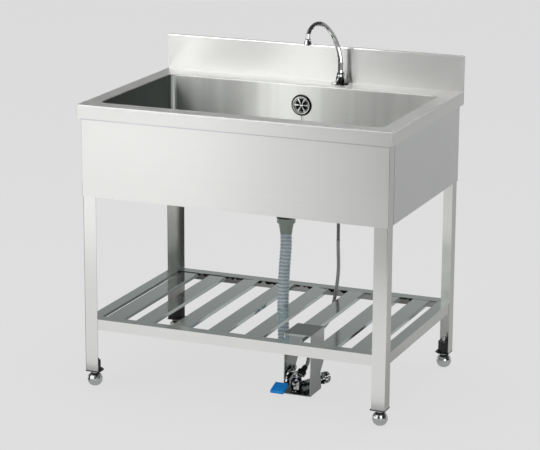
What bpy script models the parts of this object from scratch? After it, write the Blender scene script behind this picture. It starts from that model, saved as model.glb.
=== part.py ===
"""Free-standing stainless steel sink unit with a foot-operated gooseneck tap.

Metres, +Z up.  X runs along the front, from left to right, and Y from front to back.
The origin is on the floor, under the middle of the unit.
"""

import math

import bmesh
import bpy
from mathutils import Matrix, Vector

# Overall sizes
UNIT_WIDTH = 0.900
UNIT_DEPTH = 0.600
RIM_HEIGHT = 0.800
SEAT_GAP = 0.0003  # clearance between pieces that touch

# Rim, turned down at its edges, and the backguard that is bent up from it
TOP_SHEET = 0.0012
RIM_DROP = 0.0375
RIM_BEND = 0.0020
GUARD_RISE = 0.100
GUARD_THICKNESS = 0.012
RIM_OVERHANG = 0.009  # from the rim's outer edge in to the panels

# Basin
SIDE_LEDGE = 0.042
FRONT_LEDGE = 0.048
REAR_LEDGE = 0.078
BASIN_DEPTH = 0.2485
BASIN_SHEET = 0.0012
BASIN_BEND = 0.004
BASIN_CORNER = 0.018
BASIN_FILLET = 0.012
CORNER_STEPS = 5

# Panels round the basin
PANEL_SHEET = 0.0012
PANEL_HEIGHT = 0.255  # from the top of the rim to the panels' lower edge
PANEL_FLANGE = 0.012
APRON_RETURN = 0.038

# Legs and adjustable feet
LEG_WIDTH = 0.038
LEG_SHEET = 0.0015
LEG_BEND = 0.0020
LEG_FOOT_HEIGHT = 0.048
FOOT_INSET = 0.019
SOCKET_PLATE = 0.003
SOCKET_WIDTH = 0.0415
SOCKET_CHAMFER = 0.012
SOCKET_BLOCK = 0.028
SOCKET_BLOCK_WIDTH = 0.0365
SOCKET_BLOCK_CORNER = 0.020
BALL_DIAMETER = 0.042
BALL_FLAT = 0.0006
NECK_DIAMETER = 0.020
STEM_DIAMETER = 0.012
STEM_LENGTH = 0.050

# Undershelf: four rails of angle and eight channel slats
SHELF_HEIGHT = 0.198
RAIL_DROP = 0.030
RAIL_FLANGE = 0.033
RAIL_SHEET = 0.0015
SLAT_WIDTH = 0.050
SLAT_LIP = 0.010
SLAT_SHEET = 0.0012
SLAT_BEND = 0.0010
INNER_SLATS = 6
SLAT_MARGIN = 0.1785  # from the unit's sides to the outer slats' centres, both together
END_SHARE = 0.825  # the outer slats' pitch as a share of the others'
SLAT_SHIFT = -0.007  # the row of slats lies a little left of the middle

# Drain
DRAIN_X = 0.005
DRAIN_FROM_REAR = 0.1185  # from the basin's rear wall
DISH_RADIUS = 0.055
DISH_DEPTH = 0.004
STRAINER_RADIUS = 0.038
STRAINER_RISE = 0.0022
SEAT_RADIUS = 0.026
TAIL_RADIUS = 0.0205
TAIL_BORE = 0.0175
TAIL_LENGTH = 0.043
CROSS_BAR = 0.003
GASKET_RADIUS = 0.032
GASKET_THICKNESS = 0.003
LOCK_NUT_RADIUS = 0.034
LOCK_NUT_HEIGHT = 0.0115
TEE_RADIUS = 0.0245
TEE_LENGTH = 0.089
TEE_BORE = 0.018
TEE_COLLAR_RADIUS = 0.0275
TEE_COLLAR = 0.012
TEE_THREAD_RADIUS = 0.0232
TEE_THREAD = 0.010
BRANCH_DROP = 0.052  # from the basin's floor to the overflow branch
BRANCH_RADIUS = 0.012
BRANCH_BORE = 0.008
BRANCH_REACH = 0.036
HOSE_NUT_RADIUS = 0.0262
HOSE_NUT_LIP = 0.0022
CUFF_RADIUS = 0.0215
CUFF_NECK_RADIUS = 0.0178
CUFF_FLANGE = 0.0020
CUFF_LENGTH = 0.0290  # below the hose nut

# Overflow, in the basin's rear wall
OVERFLOW_X = 0.0015
OVERFLOW_DROP = 0.059  # from the top of the rim
OVERFLOW_HOLE = 0.024
GRILLE_RADIUS = 0.0305
GRILLE_RISE = 0.0045
GRILLE_DISH = 0.0022
GRILLE_SLOTS = 6
SLOT_INNER = 0.0085
SLOT_OUTER = 0.0195
SLOT_WIDTH = 0.0062
SCREW_HEAD = 0.0048
SCREW_RADIUS = 0.0025
ELBOW_RADIUS = 0.027
ELBOW_DEPTH = 0.027
ELBOW_WALL = 0.0025
ELBOW_SPIGOT = 0.0115
ELBOW_DROP = 0.042
OVERFLOW_PIPE_RADIUS = 0.010
OVERFLOW_PIPE_BEND = 0.044

# Plug on its chain
PLUG_RADIUS = 0.0215
PLUG_HEIGHT = 0.014
PLUG_X = 0.047
PLUG_FROM_REAR = 0.052
RING_RADIUS = 0.0055
RING_WIRE = 0.0010
CHAIN_DIAMETER = 0.0026

# Tap
TAP_X = 0.098
TAP_FROM_GUARD = 0.030
TAP_FLANGE_RADIUS = 0.0255
TAP_FLANGE = 0.008
TAP_COLLAR_RADIUS = 0.0115
TAP_COLLAR = 0.007
TAP_BORE = 0.007
SHANK_RADIUS = 0.0105
SHANK_LENGTH = 0.055
TAP_NUT_RADIUS = 0.0143
TAP_NUT_TOP_RADIUS = 0.0096
TAP_NUT_HEIGHT = 0.0245
DECK_NUT_FLATS = 0.030
DECK_NUT_HEIGHT = 0.008
SPOUT_TURN = math.radians(18.0)  # from straight forward, towards the left
SPOUT_FOOT_RADIUS = 0.0077
SPOUT_TIP_RADIUS = 0.0061
SPOUT_WALL = 0.0015
SPOUT_COLLAR_RADIUS = 0.0104
SPOUT_COLLAR = 0.003
SPOUT_SIDES = 14
AERATOR_RADIUS = 0.0114
AERATOR_TOP_RADIUS = 0.0084
AERATOR_HEIGHT = 0.0175
# Centreline of the gooseneck: reach from the tap's axis and height above the rim
SPOUT_RISE = (
    (0.0000, 0.018),
    (0.0000, 0.045),
    (0.0005, 0.070),
    (0.0050, 0.088),
    (0.0135, 0.108),
    (0.0270, 0.131),
    (0.0440, 0.151),
    (0.0640, 0.169),
    (0.0870, 0.1815),
    (0.1080, 0.1840),
    (0.1260, 0.1790),
    (0.1390, 0.1690),
    (0.1458, 0.1570),
    (0.1462, 0.1480),
)

# Supply line from the tap down to the foot valve
UNION_FLATS = 0.024
UNION_HEIGHT = 0.018
SUPPLY_PIPE_RADIUS = 0.0047
SUPPLY_PIPE_END = 0.346
SUPPLY_HOSE_DIAMETER = 0.010

# Foot valve
BRACKET_SLAT = 4  # which of the inner slats carries it, from the left
BRACKET_WIDTH = 0.078
BRACKET_FRONT = 0.091  # from the rail's face back to the bracket
BRACKET_TOP_LENGTH = 0.1004
BRACKET_SHEET = 0.0020
BRACKET_FLOOR = 0.026
BRACKET_NARROW = 0.082
BRACKET_WAIST = 0.073
BRACKET_TONGUE = 0.016
PEDAL_STROKE = math.radians(9.0)
PIVOT_BACK = 0.060  # from the bracket's front edge
PIVOT_HEIGHT = 0.0835
PIVOT_RADIUS = 0.0040
LEVER_SHEET = 0.004
LEVER_INSET = 0.0038  # from the bracket's left side to the lever
LEVER_BOSS = 0.0085
LEVER_BOTTOM = 0.044
FINGER_REACH = 0.035
FINGER_RADIUS = 0.0030
SPINDLE_RADIUS = 0.0040
VALVE_INSET = 0.028  # from the bracket's left face to the valve's axis
VALVE_RADIUS = 0.0155
VALVE_TOP = 0.0640
VALVE_FLANGE_RADIUS = 0.0175
VALVE_FLANGE = 0.0045
GLAND_FLATS = 0.0190
GLAND_HEIGHT = 0.0075
OUTLET_OFFSET = (-0.0060, 0.0168, 0.0551)  # across, back and up from the valve's foot
OUTLET_HEADING = (0.275, 0.700, 0.660)
OUTLET_RADIUS = 0.0085
OUTLET_LENGTH = 0.018
OUTLET_NUT_FLATS = 0.0225
OUTLET_NUT_LENGTH = 0.028
INLET_HEIGHT = 0.0440
INLET_RADIUS = 0.0095
INLET_LENGTH = 0.100
INLET_YAW = math.radians(21.5)
INLET_PITCH = math.radians(-1.5)
CAP_RADIUS = 0.0165
CAP_LENGTH = 0.021
CAP_RIDGES = 14
PAD_WIDTH = 0.037
PAD_LENGTH = 0.0415
PAD_THICKNESS = 0.0085
PAD_SLOPE = math.radians(17.0)
PAD_BACK_HEIGHT = 0.0600
PAD_OFFSET = -0.0018  # from the bracket's left face to the middle of the pad
PAD_CLEARANCE = 0.0086  # between the bracket's front edge and the pad
PAD_WALL = 0.0030
PAD_RIBS = 5

# Heights and faces that the pieces share
HALF_WIDTH = UNIT_WIDTH / 2
HALF_DEPTH = UNIT_DEPTH / 2
RIM_BOTTOM = RIM_HEIGHT - RIM_DROP
DECK_UNDERSIDE = RIM_HEIGHT - TOP_SHEET
GUARD_FACE = HALF_DEPTH - GUARD_THICKNESS
PANEL_X = HALF_WIDTH - RIM_OVERHANG
PANEL_Y = HALF_DEPTH - RIM_OVERHANG
PANEL_BOTTOM = RIM_HEIGHT - PANEL_HEIGHT
PANEL_TOP = DECK_UNDERSIDE - SEAT_GAP
LEG_X = PANEL_X - PANEL_SHEET - SEAT_GAP
LEG_Y = PANEL_Y - PANEL_SHEET - SEAT_GAP
FOOT_X = LEG_X - FOOT_INSET
FOOT_Y = LEG_Y - FOOT_INSET
RAIL_X = LEG_X - LEG_SHEET - SEAT_GAP
RAIL_Y = LEG_Y - LEG_SHEET - SEAT_GAP
SLAT_TOP = SHELF_HEIGHT - RAIL_SHEET - SEAT_GAP
SLAT_END = RAIL_Y - RAIL_SHEET - SEAT_GAP
BASIN_LEFT = -HALF_WIDTH + SIDE_LEDGE + BASIN_BEND
BASIN_RIGHT = HALF_WIDTH - SIDE_LEDGE - BASIN_BEND
BASIN_FRONT = -HALF_DEPTH + FRONT_LEDGE + BASIN_BEND
BASIN_REAR = GUARD_FACE - REAR_LEDGE - BASIN_BEND
BASIN_FLOOR = RIM_HEIGHT - BASIN_DEPTH
DISH_FLOOR = BASIN_FLOOR - DISH_DEPTH
DISH_UNDERSIDE = DISH_FLOOR - BASIN_SHEET
DRAIN_Y = BASIN_REAR - DRAIN_FROM_REAR
STRAINER_SEAT = DISH_FLOOR + SEAT_GAP
GASKET_BOTTOM = DISH_UNDERSIDE - SEAT_GAP - GASKET_THICKNESS
LOCK_NUT_BOTTOM = GASKET_BOTTOM - SEAT_GAP - LOCK_NUT_HEIGHT
TEE_TOP = LOCK_NUT_BOTTOM - SEAT_GAP
TEE_COLLAR_BOTTOM = TEE_TOP - TEE_LENGTH
TEE_BOTTOM = TEE_COLLAR_BOTTOM - TEE_THREAD
HOSE_NUT_TOP = TEE_COLLAR_BOTTOM - SEAT_GAP
CUFF_SEAT = TEE_BOTTOM - SEAT_GAP - CUFF_FLANGE
HOSE_NUT_BOTTOM = CUFF_SEAT - SEAT_GAP - HOSE_NUT_LIP
CUFF_BOTTOM = HOSE_NUT_BOTTOM - CUFF_LENGTH
BRANCH_Z = BASIN_FLOOR - BRANCH_DROP
OVERFLOW_Z = RIM_HEIGHT - OVERFLOW_DROP
TAP_Y = GUARD_FACE - TAP_FROM_GUARD
TAP_COLLAR_TOP = RIM_HEIGHT + SEAT_GAP + TAP_FLANGE + TAP_COLLAR
SHANK_BOTTOM = RIM_HEIGHT - SHANK_LENGTH
SLAT_PITCH = (UNIT_WIDTH - SLAT_MARGIN) / (INNER_SLATS - 1 + 2 * END_SHARE)
END_PITCH = SLAT_PITCH * END_SHARE
BRACKET_X = SLAT_SHIFT + SLAT_PITCH * (BRACKET_SLAT - (INNER_SLATS - 1) / 2)
BRACKET_LEFT = BRACKET_X - BRACKET_WIDTH / 2
BRACKET_RIGHT = BRACKET_X + BRACKET_WIDTH / 2
BRACKET_Y = -HALF_DEPTH + RIM_OVERHANG + BRACKET_FRONT
BRACKET_TOP = SLAT_TOP + SEAT_GAP + BRACKET_SHEET
PIVOT_Y = BRACKET_Y + PIVOT_BACK
LEVER_X = BRACKET_LEFT + BRACKET_SHEET + LEVER_INSET
VALVE_X = BRACKET_LEFT + VALVE_INSET
VALVE_Y = PIVOT_Y - FINGER_REACH
GLAND_BOTTOM = VALVE_TOP + SEAT_GAP
SPINDLE_TOP = PIVOT_HEIGHT - FINGER_RADIUS - SEAT_GAP
VALVE_BASE = BRACKET_FLOOR + BRACKET_SHEET + SEAT_GAP

# Free-hanging hoses and the chain: the points that each one follows
DRAIN_HOSE_DIAMETER = 0.034
DRAIN_HOSE_VALLEY = 0.0290
DRAIN_HOSE_BORE = 0.0240
DRAIN_HOSE_PITCH = 0.0106
DRAIN_HOSE_END = 0.060
DRAIN_HOSE_BOW = (
    # sideways and forward offsets from the drain, at shares of the way down
    (0.00, 0.0000, 0.0000),
    (0.12, 0.0000, 0.0000),
    (0.35, -0.0045, -0.0010),
    (0.60, -0.0070, -0.0020),
    (0.80, -0.0060, -0.0010),
    (1.00, -0.0040, 0.0000),
)
SUPPLY_ROUTE = (
    # from under the pipe, through the shelf, to the nut on the foot valve
    (0.0980, 0.2580, 0.3330),
    (0.0988, 0.2575, 0.3100),
    (0.1003, 0.2560, 0.2850),
    (0.1020, 0.2520, 0.2600),
    (0.1032, 0.2440, 0.2350),
    (0.1042, 0.2330, 0.2120),
    (0.1060, 0.2180, 0.1920),
    (0.1100, 0.1960, 0.1760),
    (0.1170, 0.1650, 0.1640),
    (0.1260, 0.1280, 0.1550),
    (0.1340, 0.0850, 0.1500),
    (0.1385, 0.0400, 0.1490),
    (0.1400, -0.0020, 0.1480),
    (0.1420, -0.0400, 0.1430),
    (0.1475, -0.0720, 0.1330),
)
CHAIN_ROUTE = (
    # from the eye of the overflow screw, down the rear wall and along the floor
    (0.0015, 0.1991, 0.7334),
    (0.0022, 0.1992, 0.7200),
    (0.0050, 0.2015, 0.6900),
    (0.0062, 0.2025, 0.6500),
    (0.0070, 0.2025, 0.6100),
    (0.0078, 0.2010, 0.5800),
    (0.0100, 0.1960, 0.5620),
    (0.0150, 0.1870, 0.5545),
    (0.0230, 0.1760, 0.5532),
    (0.0190, 0.1620, 0.5532),
    (0.0130, 0.1500, 0.5532),
    (0.0150, 0.1380, 0.5532),
    (0.0205, 0.1310, 0.5560),
    (0.0250, 0.1320, 0.5635),
    (0.0300, 0.1390, 0.5705),
    (0.0355, 0.1480, 0.5716),
    (0.0398, 0.1538, 0.5700),
)


# Materials


def material(name, color, roughness, metallic):
    made = bpy.data.materials.new(name)
    made.use_nodes = True
    shader = made.node_tree.nodes["Principled BSDF"]
    shader.inputs["Base Color"].default_value = (*color, 1.0)
    shader.inputs["Roughness"].default_value = roughness
    shader.inputs["Metallic"].default_value = metallic
    made.diffuse_color = (*color, 1.0)
    return made


FINISHES = {
    "brushed_steel": ((0.60, 0.60, 0.58), 0.32, 1.0),
    "polished_steel": ((0.45, 0.48, 0.47), 0.15, 1.0),
    "chrome": ((0.80, 0.81, 0.82), 0.06, 1.0),
    "black_plastic": ((0.02, 0.02, 0.02), 0.45, 0.0),
    "blue_plastic": ((0.00, 0.13, 0.48), 0.40, 0.0),
    "hose_plastic": ((0.22, 0.27, 0.31), 0.45, 0.0),
    "cuff_plastic": ((0.24, 0.29, 0.25), 0.45, 0.0),
    "rubber": ((0.03, 0.03, 0.03), 0.70, 0.0),
    "braid": ((0.30, 0.30, 0.29), 0.35, 1.0),
    "black_steel": ((0.03, 0.03, 0.03), 0.35, 0.6),
}


# Shape tools


def to_object(name, bm, finish, smooth_angle=35.0):
    """Makes a named object of the bmesh, with its normals out and its own material."""
    bmesh.ops.remove_doubles(bm, verts=bm.verts, dist=1e-6)
    bmesh.ops.recalc_face_normals(bm, faces=bm.faces)
    mesh = bpy.data.meshes.new(name)
    bm.to_mesh(mesh)
    bm.free()
    made = bpy.data.objects.new(name, mesh)
    bpy.context.scene.collection.objects.link(made)
    mesh.materials.append(material(name, *FINISHES[finish]))
    mesh.shade_smooth()
    mesh.set_sharp_from_angle(angle=math.radians(smooth_angle))
    return made


def add_prism(bm, outline, low, high, axis="Z"):
    """Extrudes a closed outline from low to high: (x, y) along Z, (y, z) along X, (x, z) along Y."""
    place = {
        "Z": lambda a, b, c: (a, b, c),
        "X": lambda a, b, c: (c, a, b),
        "Y": lambda a, b, c: (a, c, b),
    }[axis]
    face = bm.faces.new([bm.verts.new(place(a, b, low)) for a, b in outline])
    grown = bmesh.ops.extrude_face_region(bm, geom=[face])["geom"]
    moved = [v for v in grown if isinstance(v, bmesh.types.BMVert)]
    bmesh.ops.translate(bm, verts=moved, vec=Vector(place(0, 0, high - low)))


def add_box(bm, x, y, z):
    add_prism(bm, ((x[0], y[0]), (x[1], y[0]), (x[1], y[1]), (x[0], y[1])), *z)


def add_lathe(bm, profile, sides=24):
    """Turns a closed profile of (radius, height) points about the Z axis."""
    verts = [bm.verts.new((radius, 0, height)) for radius, height in profile]
    edges = [bm.edges.new((verts[i - 1], verts[i])) for i in range(len(verts))]
    bmesh.ops.spin(
        bm,
        geom=verts + edges,
        axis=(0, 0, 1),
        cent=(0, 0, 0),
        dvec=(0, 0, 0),
        angle=2 * math.pi,
        steps=sides,
        use_merge=True,
    )
    bmesh.ops.remove_doubles(bm, verts=bm.verts, dist=1e-6)
    bmesh.ops.delete(bm, geom=[edge for edge in bm.edges if not edge.link_faces], context="EDGES")


def lathe(name, profile, finish, place=Matrix(), sides=24):
    """A turned piece; place moves its Z axis to where the piece lies."""
    bm = bmesh.new()
    add_lathe(bm, profile, sides)
    bmesh.ops.transform(bm, matrix=place, verts=bm.verts)
    return to_object(name, bm, finish)


def rod(radius, low, high, bore=0.0):
    """The profile of a plain rod, or of a tube where it has a bore."""
    return ((bore, high), (radius, high), (radius, low), (bore, low))


def hexagon(flats):
    """Outline of a hexagon with the given distance across its flats."""
    corner = flats / math.sqrt(3)
    return [(corner * math.cos(k * math.pi / 3), corner * math.sin(k * math.pi / 3)) for k in range(6)]


def bevel_where(bm, chosen, width, segments=2):
    edges = [edge for edge in bm.edges if chosen(*(vert.co for vert in edge.verts))]
    bmesh.ops.bevel(
        bm, geom=edges, offset=width, segments=segments, profile=0.5, affect="EDGES", clamp_overlap=True
    )


def combine(target, bm, operation):
    """Applies one Boolean to the target, with the bmesh as the other solid."""
    tool = to_object("tool", bm, "black_plastic")
    step = target.modifiers.new(operation.lower(), "BOOLEAN")
    step.operation = operation
    step.solver = "EXACT"
    step.object = tool
    graph = bpy.context.evaluated_depsgraph_get()
    shaped = bpy.data.meshes.new_from_object(target.evaluated_get(graph))
    target.modifiers.remove(step)
    old_mesh, tool_mesh = target.data, tool.data
    target.data = shaped
    shaped.name = target.name
    while len(shaped.materials) > 1:
        shaped.materials.pop()
    bpy.data.objects.remove(tool)
    bpy.data.meshes.remove(tool_mesh)
    bpy.data.meshes.remove(old_mesh)
    shaped.set_sharp_from_angle(angle=math.radians(35.0))


def cut_box(target, x, y, z):
    bm = bmesh.new()
    add_box(bm, x, y, z)
    combine(target, bm, "DIFFERENCE")


def join_box(target, x, y, z):
    bm = bmesh.new()
    add_box(bm, x, y, z)
    combine(target, bm, "UNION")


def change_turned(target, profile, operation, place=Matrix(), sides=24):
    """Joins a turned solid to the target, or cuts it out."""
    bm = bmesh.new()
    add_lathe(bm, profile, sides)
    bmesh.ops.transform(bm, matrix=place, verts=bm.verts)
    combine(target, bm, operation)


def at(x, y, z):
    return Matrix.Translation((x, y, z))


def along(point, direction):
    """Places a turned piece at the point, with its axis along the direction."""
    return at(*point) @ Vector(direction).normalized().to_track_quat("Z", "Y").to_matrix().to_4x4()


def smooth_route(points, spacing):
    """Points about one spacing apart on a smooth curve through the route's own points."""
    known = [Vector(point) for point in points]
    known = [2 * known[0] - known[1]] + known + [2 * known[-1] - known[-2]]
    dense = []
    for before, start, end, after in zip(known, known[1:], known[2:], known[3:]):
        for k in range(24):
            t = k / 24
            dense.append(
                0.5
                * (
                    2 * start
                    + (end - before) * t
                    + (2 * before - 5 * start + 4 * end - after) * t * t
                    + (3 * start - before - 3 * end + after) * t**3
                )
            )
    dense.append(known[-2])
    total = sum((b - a).length for a, b in zip(dense, dense[1:]))
    count = max(2, round(total / spacing))
    made, walked, wanted = [dense[0]], 0.0, 1
    for a, b in zip(dense, dense[1:]):
        length = (b - a).length
        while wanted < count and walked + length >= wanted * total / count:
            made.append(a.lerp(b, (wanted * total / count - walked) / length))
            wanted += 1
        walked += length
    return made + [dense[-1]]


def cord(name, points, diameter, finish, resolution=2, radii=None):
    """A tube along the points, as a curve; radii are shares of its full radius."""
    curve = bpy.data.curves.new(name, "CURVE")
    curve.dimensions = "3D"
    curve.bevel_depth = diameter / 2
    curve.bevel_resolution = resolution
    curve.use_fill_caps = True
    spline = curve.splines.new("POLY")
    spline.points.add(len(points) - 1)
    for k, point in enumerate(points):
        spline.points[k].co = (*point, 1.0)
        spline.points[k].radius = radii[k] if radii else 1.0
    made = bpy.data.objects.new(name, curve)
    bpy.context.scene.collection.objects.link(made)
    curve.materials.append(material(name, *FINISHES[finish]))
    return made


def sweep(name, points, outer, inner, finish, sides, across, last_heading):
    """A tube along points in one upright plane, with its bore; across is square to that plane."""
    bm = bmesh.new()
    across = Vector(across)
    rings = []
    for shell in (outer, inner):
        for k, point in enumerate(points):
            ahead = points[min(k + 1, len(points) - 1)] - points[max(k - 1, 0)]
            if k == len(points) - 1:
                ahead = Vector(last_heading)
            up = across.cross(ahead.normalized())
            turns = [2 * math.pi * n / sides for n in range(sides)]
            ring = [
                bm.verts.new(point + shell[k] * (math.cos(a) * across + math.sin(a) * up)) for a in turns
            ]
            rings.append(ring)
    count = len(points)
    order = rings[:count] + list(reversed(rings[count:]))
    for first, second in zip(order, order[1:] + order[:1]):
        for n in range(sides):
            bm.faces.new((first[n - 1], first[n], second[n], second[n - 1]))
    return to_object(name, bm, finish)


# Rim, backguard and basin


def rounded_corners(left, right, front, rear, radius):
    """Outline with round corners, anticlockwise from the front right one."""
    outline = []
    for x, y, start in (
        (right - radius, front + radius, -90),
        (right - radius, rear - radius, 0),
        (left + radius, rear - radius, 90),
        (left + radius, front + radius, 180),
    ):
        for k in range(CORNER_STEPS + 1):
            angle = math.radians(start + 90 * k / CORNER_STEPS)
            outline.append((x + radius * math.cos(angle), y + radius * math.sin(angle)))
    return outline


def basin_outline(grow):
    """The basin's inner outline, grown outwards by the given distance."""
    return rounded_corners(
        BASIN_LEFT - grow, BASIN_RIGHT + grow, BASIN_FRONT - grow, BASIN_REAR + grow, BASIN_CORNER + grow
    )


def circle_outline(radius):
    """Points round the drain that match the basin's outline one for one."""
    count = 4 * (CORNER_STEPS + 1)
    angles = [-math.pi / 2 + 2 * math.pi * (k + 0.5) / count for k in range(count)]
    return [(DRAIN_X + radius * math.cos(a), DRAIN_Y + radius * math.sin(a)) for a in angles]


def make_sink_top():
    """Rim with its edges turned down and in, and the hollow backguard, in one sheet."""
    low, high = RIM_BOTTOM, RIM_HEIGHT + GUARD_RISE
    bm = bmesh.new()
    side = (
        (-HALF_DEPTH, low),
        (HALF_DEPTH, low),
        (HALF_DEPTH, high),
        (GUARD_FACE, high),
        (GUARD_FACE, RIM_HEIGHT),
        (-HALF_DEPTH, RIM_HEIGHT),
    )
    add_prism(bm, side, -HALF_WIDTH, HALF_WIDTH, "X")

    def is_bent(a, b):
        on_rim = abs(a.z - RIM_HEIGHT) < 1e-6 and abs(b.z - RIM_HEIGHT) < 1e-6
        on_guard = abs(a.z - high) < 1e-6 and abs(b.z - high) < 1e-6 and abs(a.y - b.y) < 1e-6
        front_corner = abs(a.y + HALF_DEPTH) < 1e-6 and abs(a.x - b.x) < 1e-6 and abs(a.y - b.y) < 1e-6
        return on_rim or on_guard or front_corner

    bevel_where(bm, is_bent, RIM_BEND)
    top = to_object("sink_top", bm, "brushed_steel")

    sheet = TOP_SHEET
    bm = bmesh.new()
    hollow = (
        (-HALF_DEPTH + sheet, low + sheet),
        (HALF_DEPTH - sheet, low + sheet),
        (HALF_DEPTH - sheet, high - sheet),
        (GUARD_FACE + sheet, high - sheet),
        (GUARD_FACE + sheet, DECK_UNDERSIDE),
        (-HALF_DEPTH + sheet, DECK_UNDERSIDE),
    )
    add_prism(bm, hollow, -HALF_WIDTH + sheet, HALF_WIDTH - sheet, "X")
    combine(top, bm, "DIFFERENCE")

    lip_x, lip_y = PANEL_X + SEAT_GAP, PANEL_Y + SEAT_GAP
    cut_box(top, (-lip_x, lip_x), (-lip_y, lip_y), (low - sheet, low + 2 * sheet))
    bm = bmesh.new()
    add_prism(bm, basin_outline(BASIN_BEND + SEAT_GAP), DECK_UNDERSIDE - sheet, RIM_HEIGHT + sheet)
    combine(top, bm, "DIFFERENCE")
    change_turned(
        top,
        rod(SHANK_RADIUS + SEAT_GAP, DECK_UNDERSIDE - sheet, RIM_HEIGHT + sheet),
        "DIFFERENCE",
        at(TAP_X, TAP_Y, 0),
    )
    return top


def make_basin():
    """Deep bowl with a rolled upper edge, round corners and a dished drain hole."""
    sheet = BASIN_SHEET
    inner = []
    for k in range(4):
        angle = math.radians(30 * k)
        grow = BASIN_BEND * (1 - math.sin(angle))
        inner.append((basin_outline(grow), RIM_HEIGHT - BASIN_BEND * (1 - math.cos(angle))))
    for k in range(5):
        angle = math.radians(22.5 * k)
        grow = -BASIN_FILLET * (1 - math.cos(angle))
        inner.append((basin_outline(grow), BASIN_FLOOR + BASIN_FILLET * (1 - math.sin(angle))))
    inner.append((circle_outline(DISH_RADIUS), BASIN_FLOOR))
    inner.append((circle_outline(DISH_RADIUS - DISH_DEPTH), DISH_FLOOR))
    inner.append((circle_outline(TAIL_RADIUS + SEAT_GAP), DISH_FLOOR))

    outer = []
    bend, fillet = BASIN_BEND - sheet, BASIN_FILLET + sheet
    for k in range(4):
        angle = math.radians(30 * k)
        grow = BASIN_BEND - bend * math.sin(angle)
        outer.append((basin_outline(grow), RIM_HEIGHT - BASIN_BEND + bend * math.cos(angle)))
    for k in range(5):
        angle = math.radians(22.5 * k)
        grow = sheet - fillet * (1 - math.cos(angle))
        outer.append((basin_outline(grow), BASIN_FLOOR - sheet + fillet * (1 - math.sin(angle))))
    outer.append((circle_outline(DISH_RADIUS), BASIN_FLOOR - sheet))
    outer.append((circle_outline(DISH_RADIUS - DISH_DEPTH), DISH_UNDERSIDE))
    outer.append((circle_outline(TAIL_RADIUS + SEAT_GAP), DISH_UNDERSIDE))

    bm = bmesh.new()
    loops = []
    for outline, height in inner + outer[::-1]:
        loops.append([bm.verts.new((x, y, height)) for x, y in outline])
    for first, second in zip(loops, loops[1:] + loops[:1]):
        for k in range(len(first)):
            bm.faces.new((first[k - 1], first[k], second[k], second[k - 1]))
    basin = to_object("basin", bm, "brushed_steel")
    change_turned(
        basin,
        rod(OVERFLOW_HOLE, -BASIN_SHEET, 2 * BASIN_SHEET),
        "DIFFERENCE",
        along((OVERFLOW_X, BASIN_REAR, OVERFLOW_Z), (0, 1, 0)),
    )
    return basin


# Panels


def make_front_apron():
    """Front panel that wraps both corners and turns in along its lower edge."""
    sheet = PANEL_SHEET
    back = -PANEL_Y + APRON_RETURN
    outline = (
        (-PANEL_X, back),
        (-PANEL_X, -PANEL_Y),
        (PANEL_X, -PANEL_Y),
        (PANEL_X, back),
        (PANEL_X - sheet, back),
        (PANEL_X - sheet, -PANEL_Y + sheet),
        (-PANEL_X + sheet, -PANEL_Y + sheet),
        (-PANEL_X + sheet, back),
    )
    bm = bmesh.new()
    add_prism(bm, outline, PANEL_BOTTOM, PANEL_TOP)
    bevel_where(
        bm,
        lambda a, b: abs(a.y + PANEL_Y) < 1e-6 and abs(a.x - b.x) < 1e-6 and abs(a.y - b.y) < 1e-6,
        sheet,
    )
    apron = to_object("front_apron", bm, "brushed_steel")
    reach = LEG_X - LEG_WIDTH - SEAT_GAP
    join_box(
        apron,
        (-reach, reach),
        (-PANEL_Y + sheet / 2, -PANEL_Y + PANEL_FLANGE),
        (PANEL_BOTTOM, PANEL_BOTTOM + sheet),
    )
    return apron


def make_side_panel(name, side):
    """Side panel from the apron's return to the rear panel, turned in along its lower edge."""
    sheet = PANEL_SHEET
    front = -PANEL_Y + APRON_RETURN + SEAT_GAP
    rear = PANEL_Y - sheet - SEAT_GAP
    reach = LEG_Y - LEG_WIDTH - SEAT_GAP
    bm = bmesh.new()
    add_box(bm, sorted((side * PANEL_X, side * (PANEL_X - sheet))), (front, rear), (PANEL_BOTTOM, PANEL_TOP))
    panel = to_object(name, bm, "brushed_steel")
    join_box(
        panel,
        sorted((side * (PANEL_X - sheet / 2), side * (PANEL_X - PANEL_FLANGE))),
        (front + sheet, reach),
        (PANEL_BOTTOM, PANEL_BOTTOM + sheet),
    )
    return panel


def make_rear_panel():
    sheet = PANEL_SHEET
    bm = bmesh.new()
    add_box(bm, (-PANEL_X, PANEL_X), (PANEL_Y - sheet, PANEL_Y), (PANEL_BOTTOM, PANEL_TOP))
    panel = to_object("rear_panel", bm, "brushed_steel")
    reach = LEG_X - LEG_WIDTH - SEAT_GAP
    join_box(
        panel,
        (-reach, reach),
        (PANEL_Y - PANEL_FLANGE, PANEL_Y - sheet / 2),
        (PANEL_BOTTOM, PANEL_BOTTOM + sheet),
    )
    return panel


# Legs and feet

CORNERS = (
    ("front_left", -1, -1),
    ("front_right", 1, -1),
    ("rear_left", -1, 1),
    ("rear_right", 1, 1),
)


def in_corner(side, end, points):
    """Turns distances in from a leg's two outer faces into X and Y."""
    return [(side * (LEG_X - a), end * (LEG_Y - b)) for a, b in points]


def make_leg(name, side, end):
    """Angle-section leg, open towards the middle of the unit."""
    wide, sheet = LEG_WIDTH, LEG_SHEET
    section = ((0, 0), (wide, 0), (wide, sheet), (sheet, sheet), (sheet, wide), (0, wide))
    bm = bmesh.new()
    add_prism(bm, in_corner(side, end, section), LEG_FOOT_HEIGHT, PANEL_TOP)

    def is_corner(a, b):
        return all(abs(abs(v.x) - LEG_X) < 1e-6 and abs(abs(v.y) - LEG_Y) < 1e-6 for v in (a, b))

    bevel_where(bm, is_corner, min(LEG_BEND, wide / 4))
    return to_object(name, bm, "brushed_steel")


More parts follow.
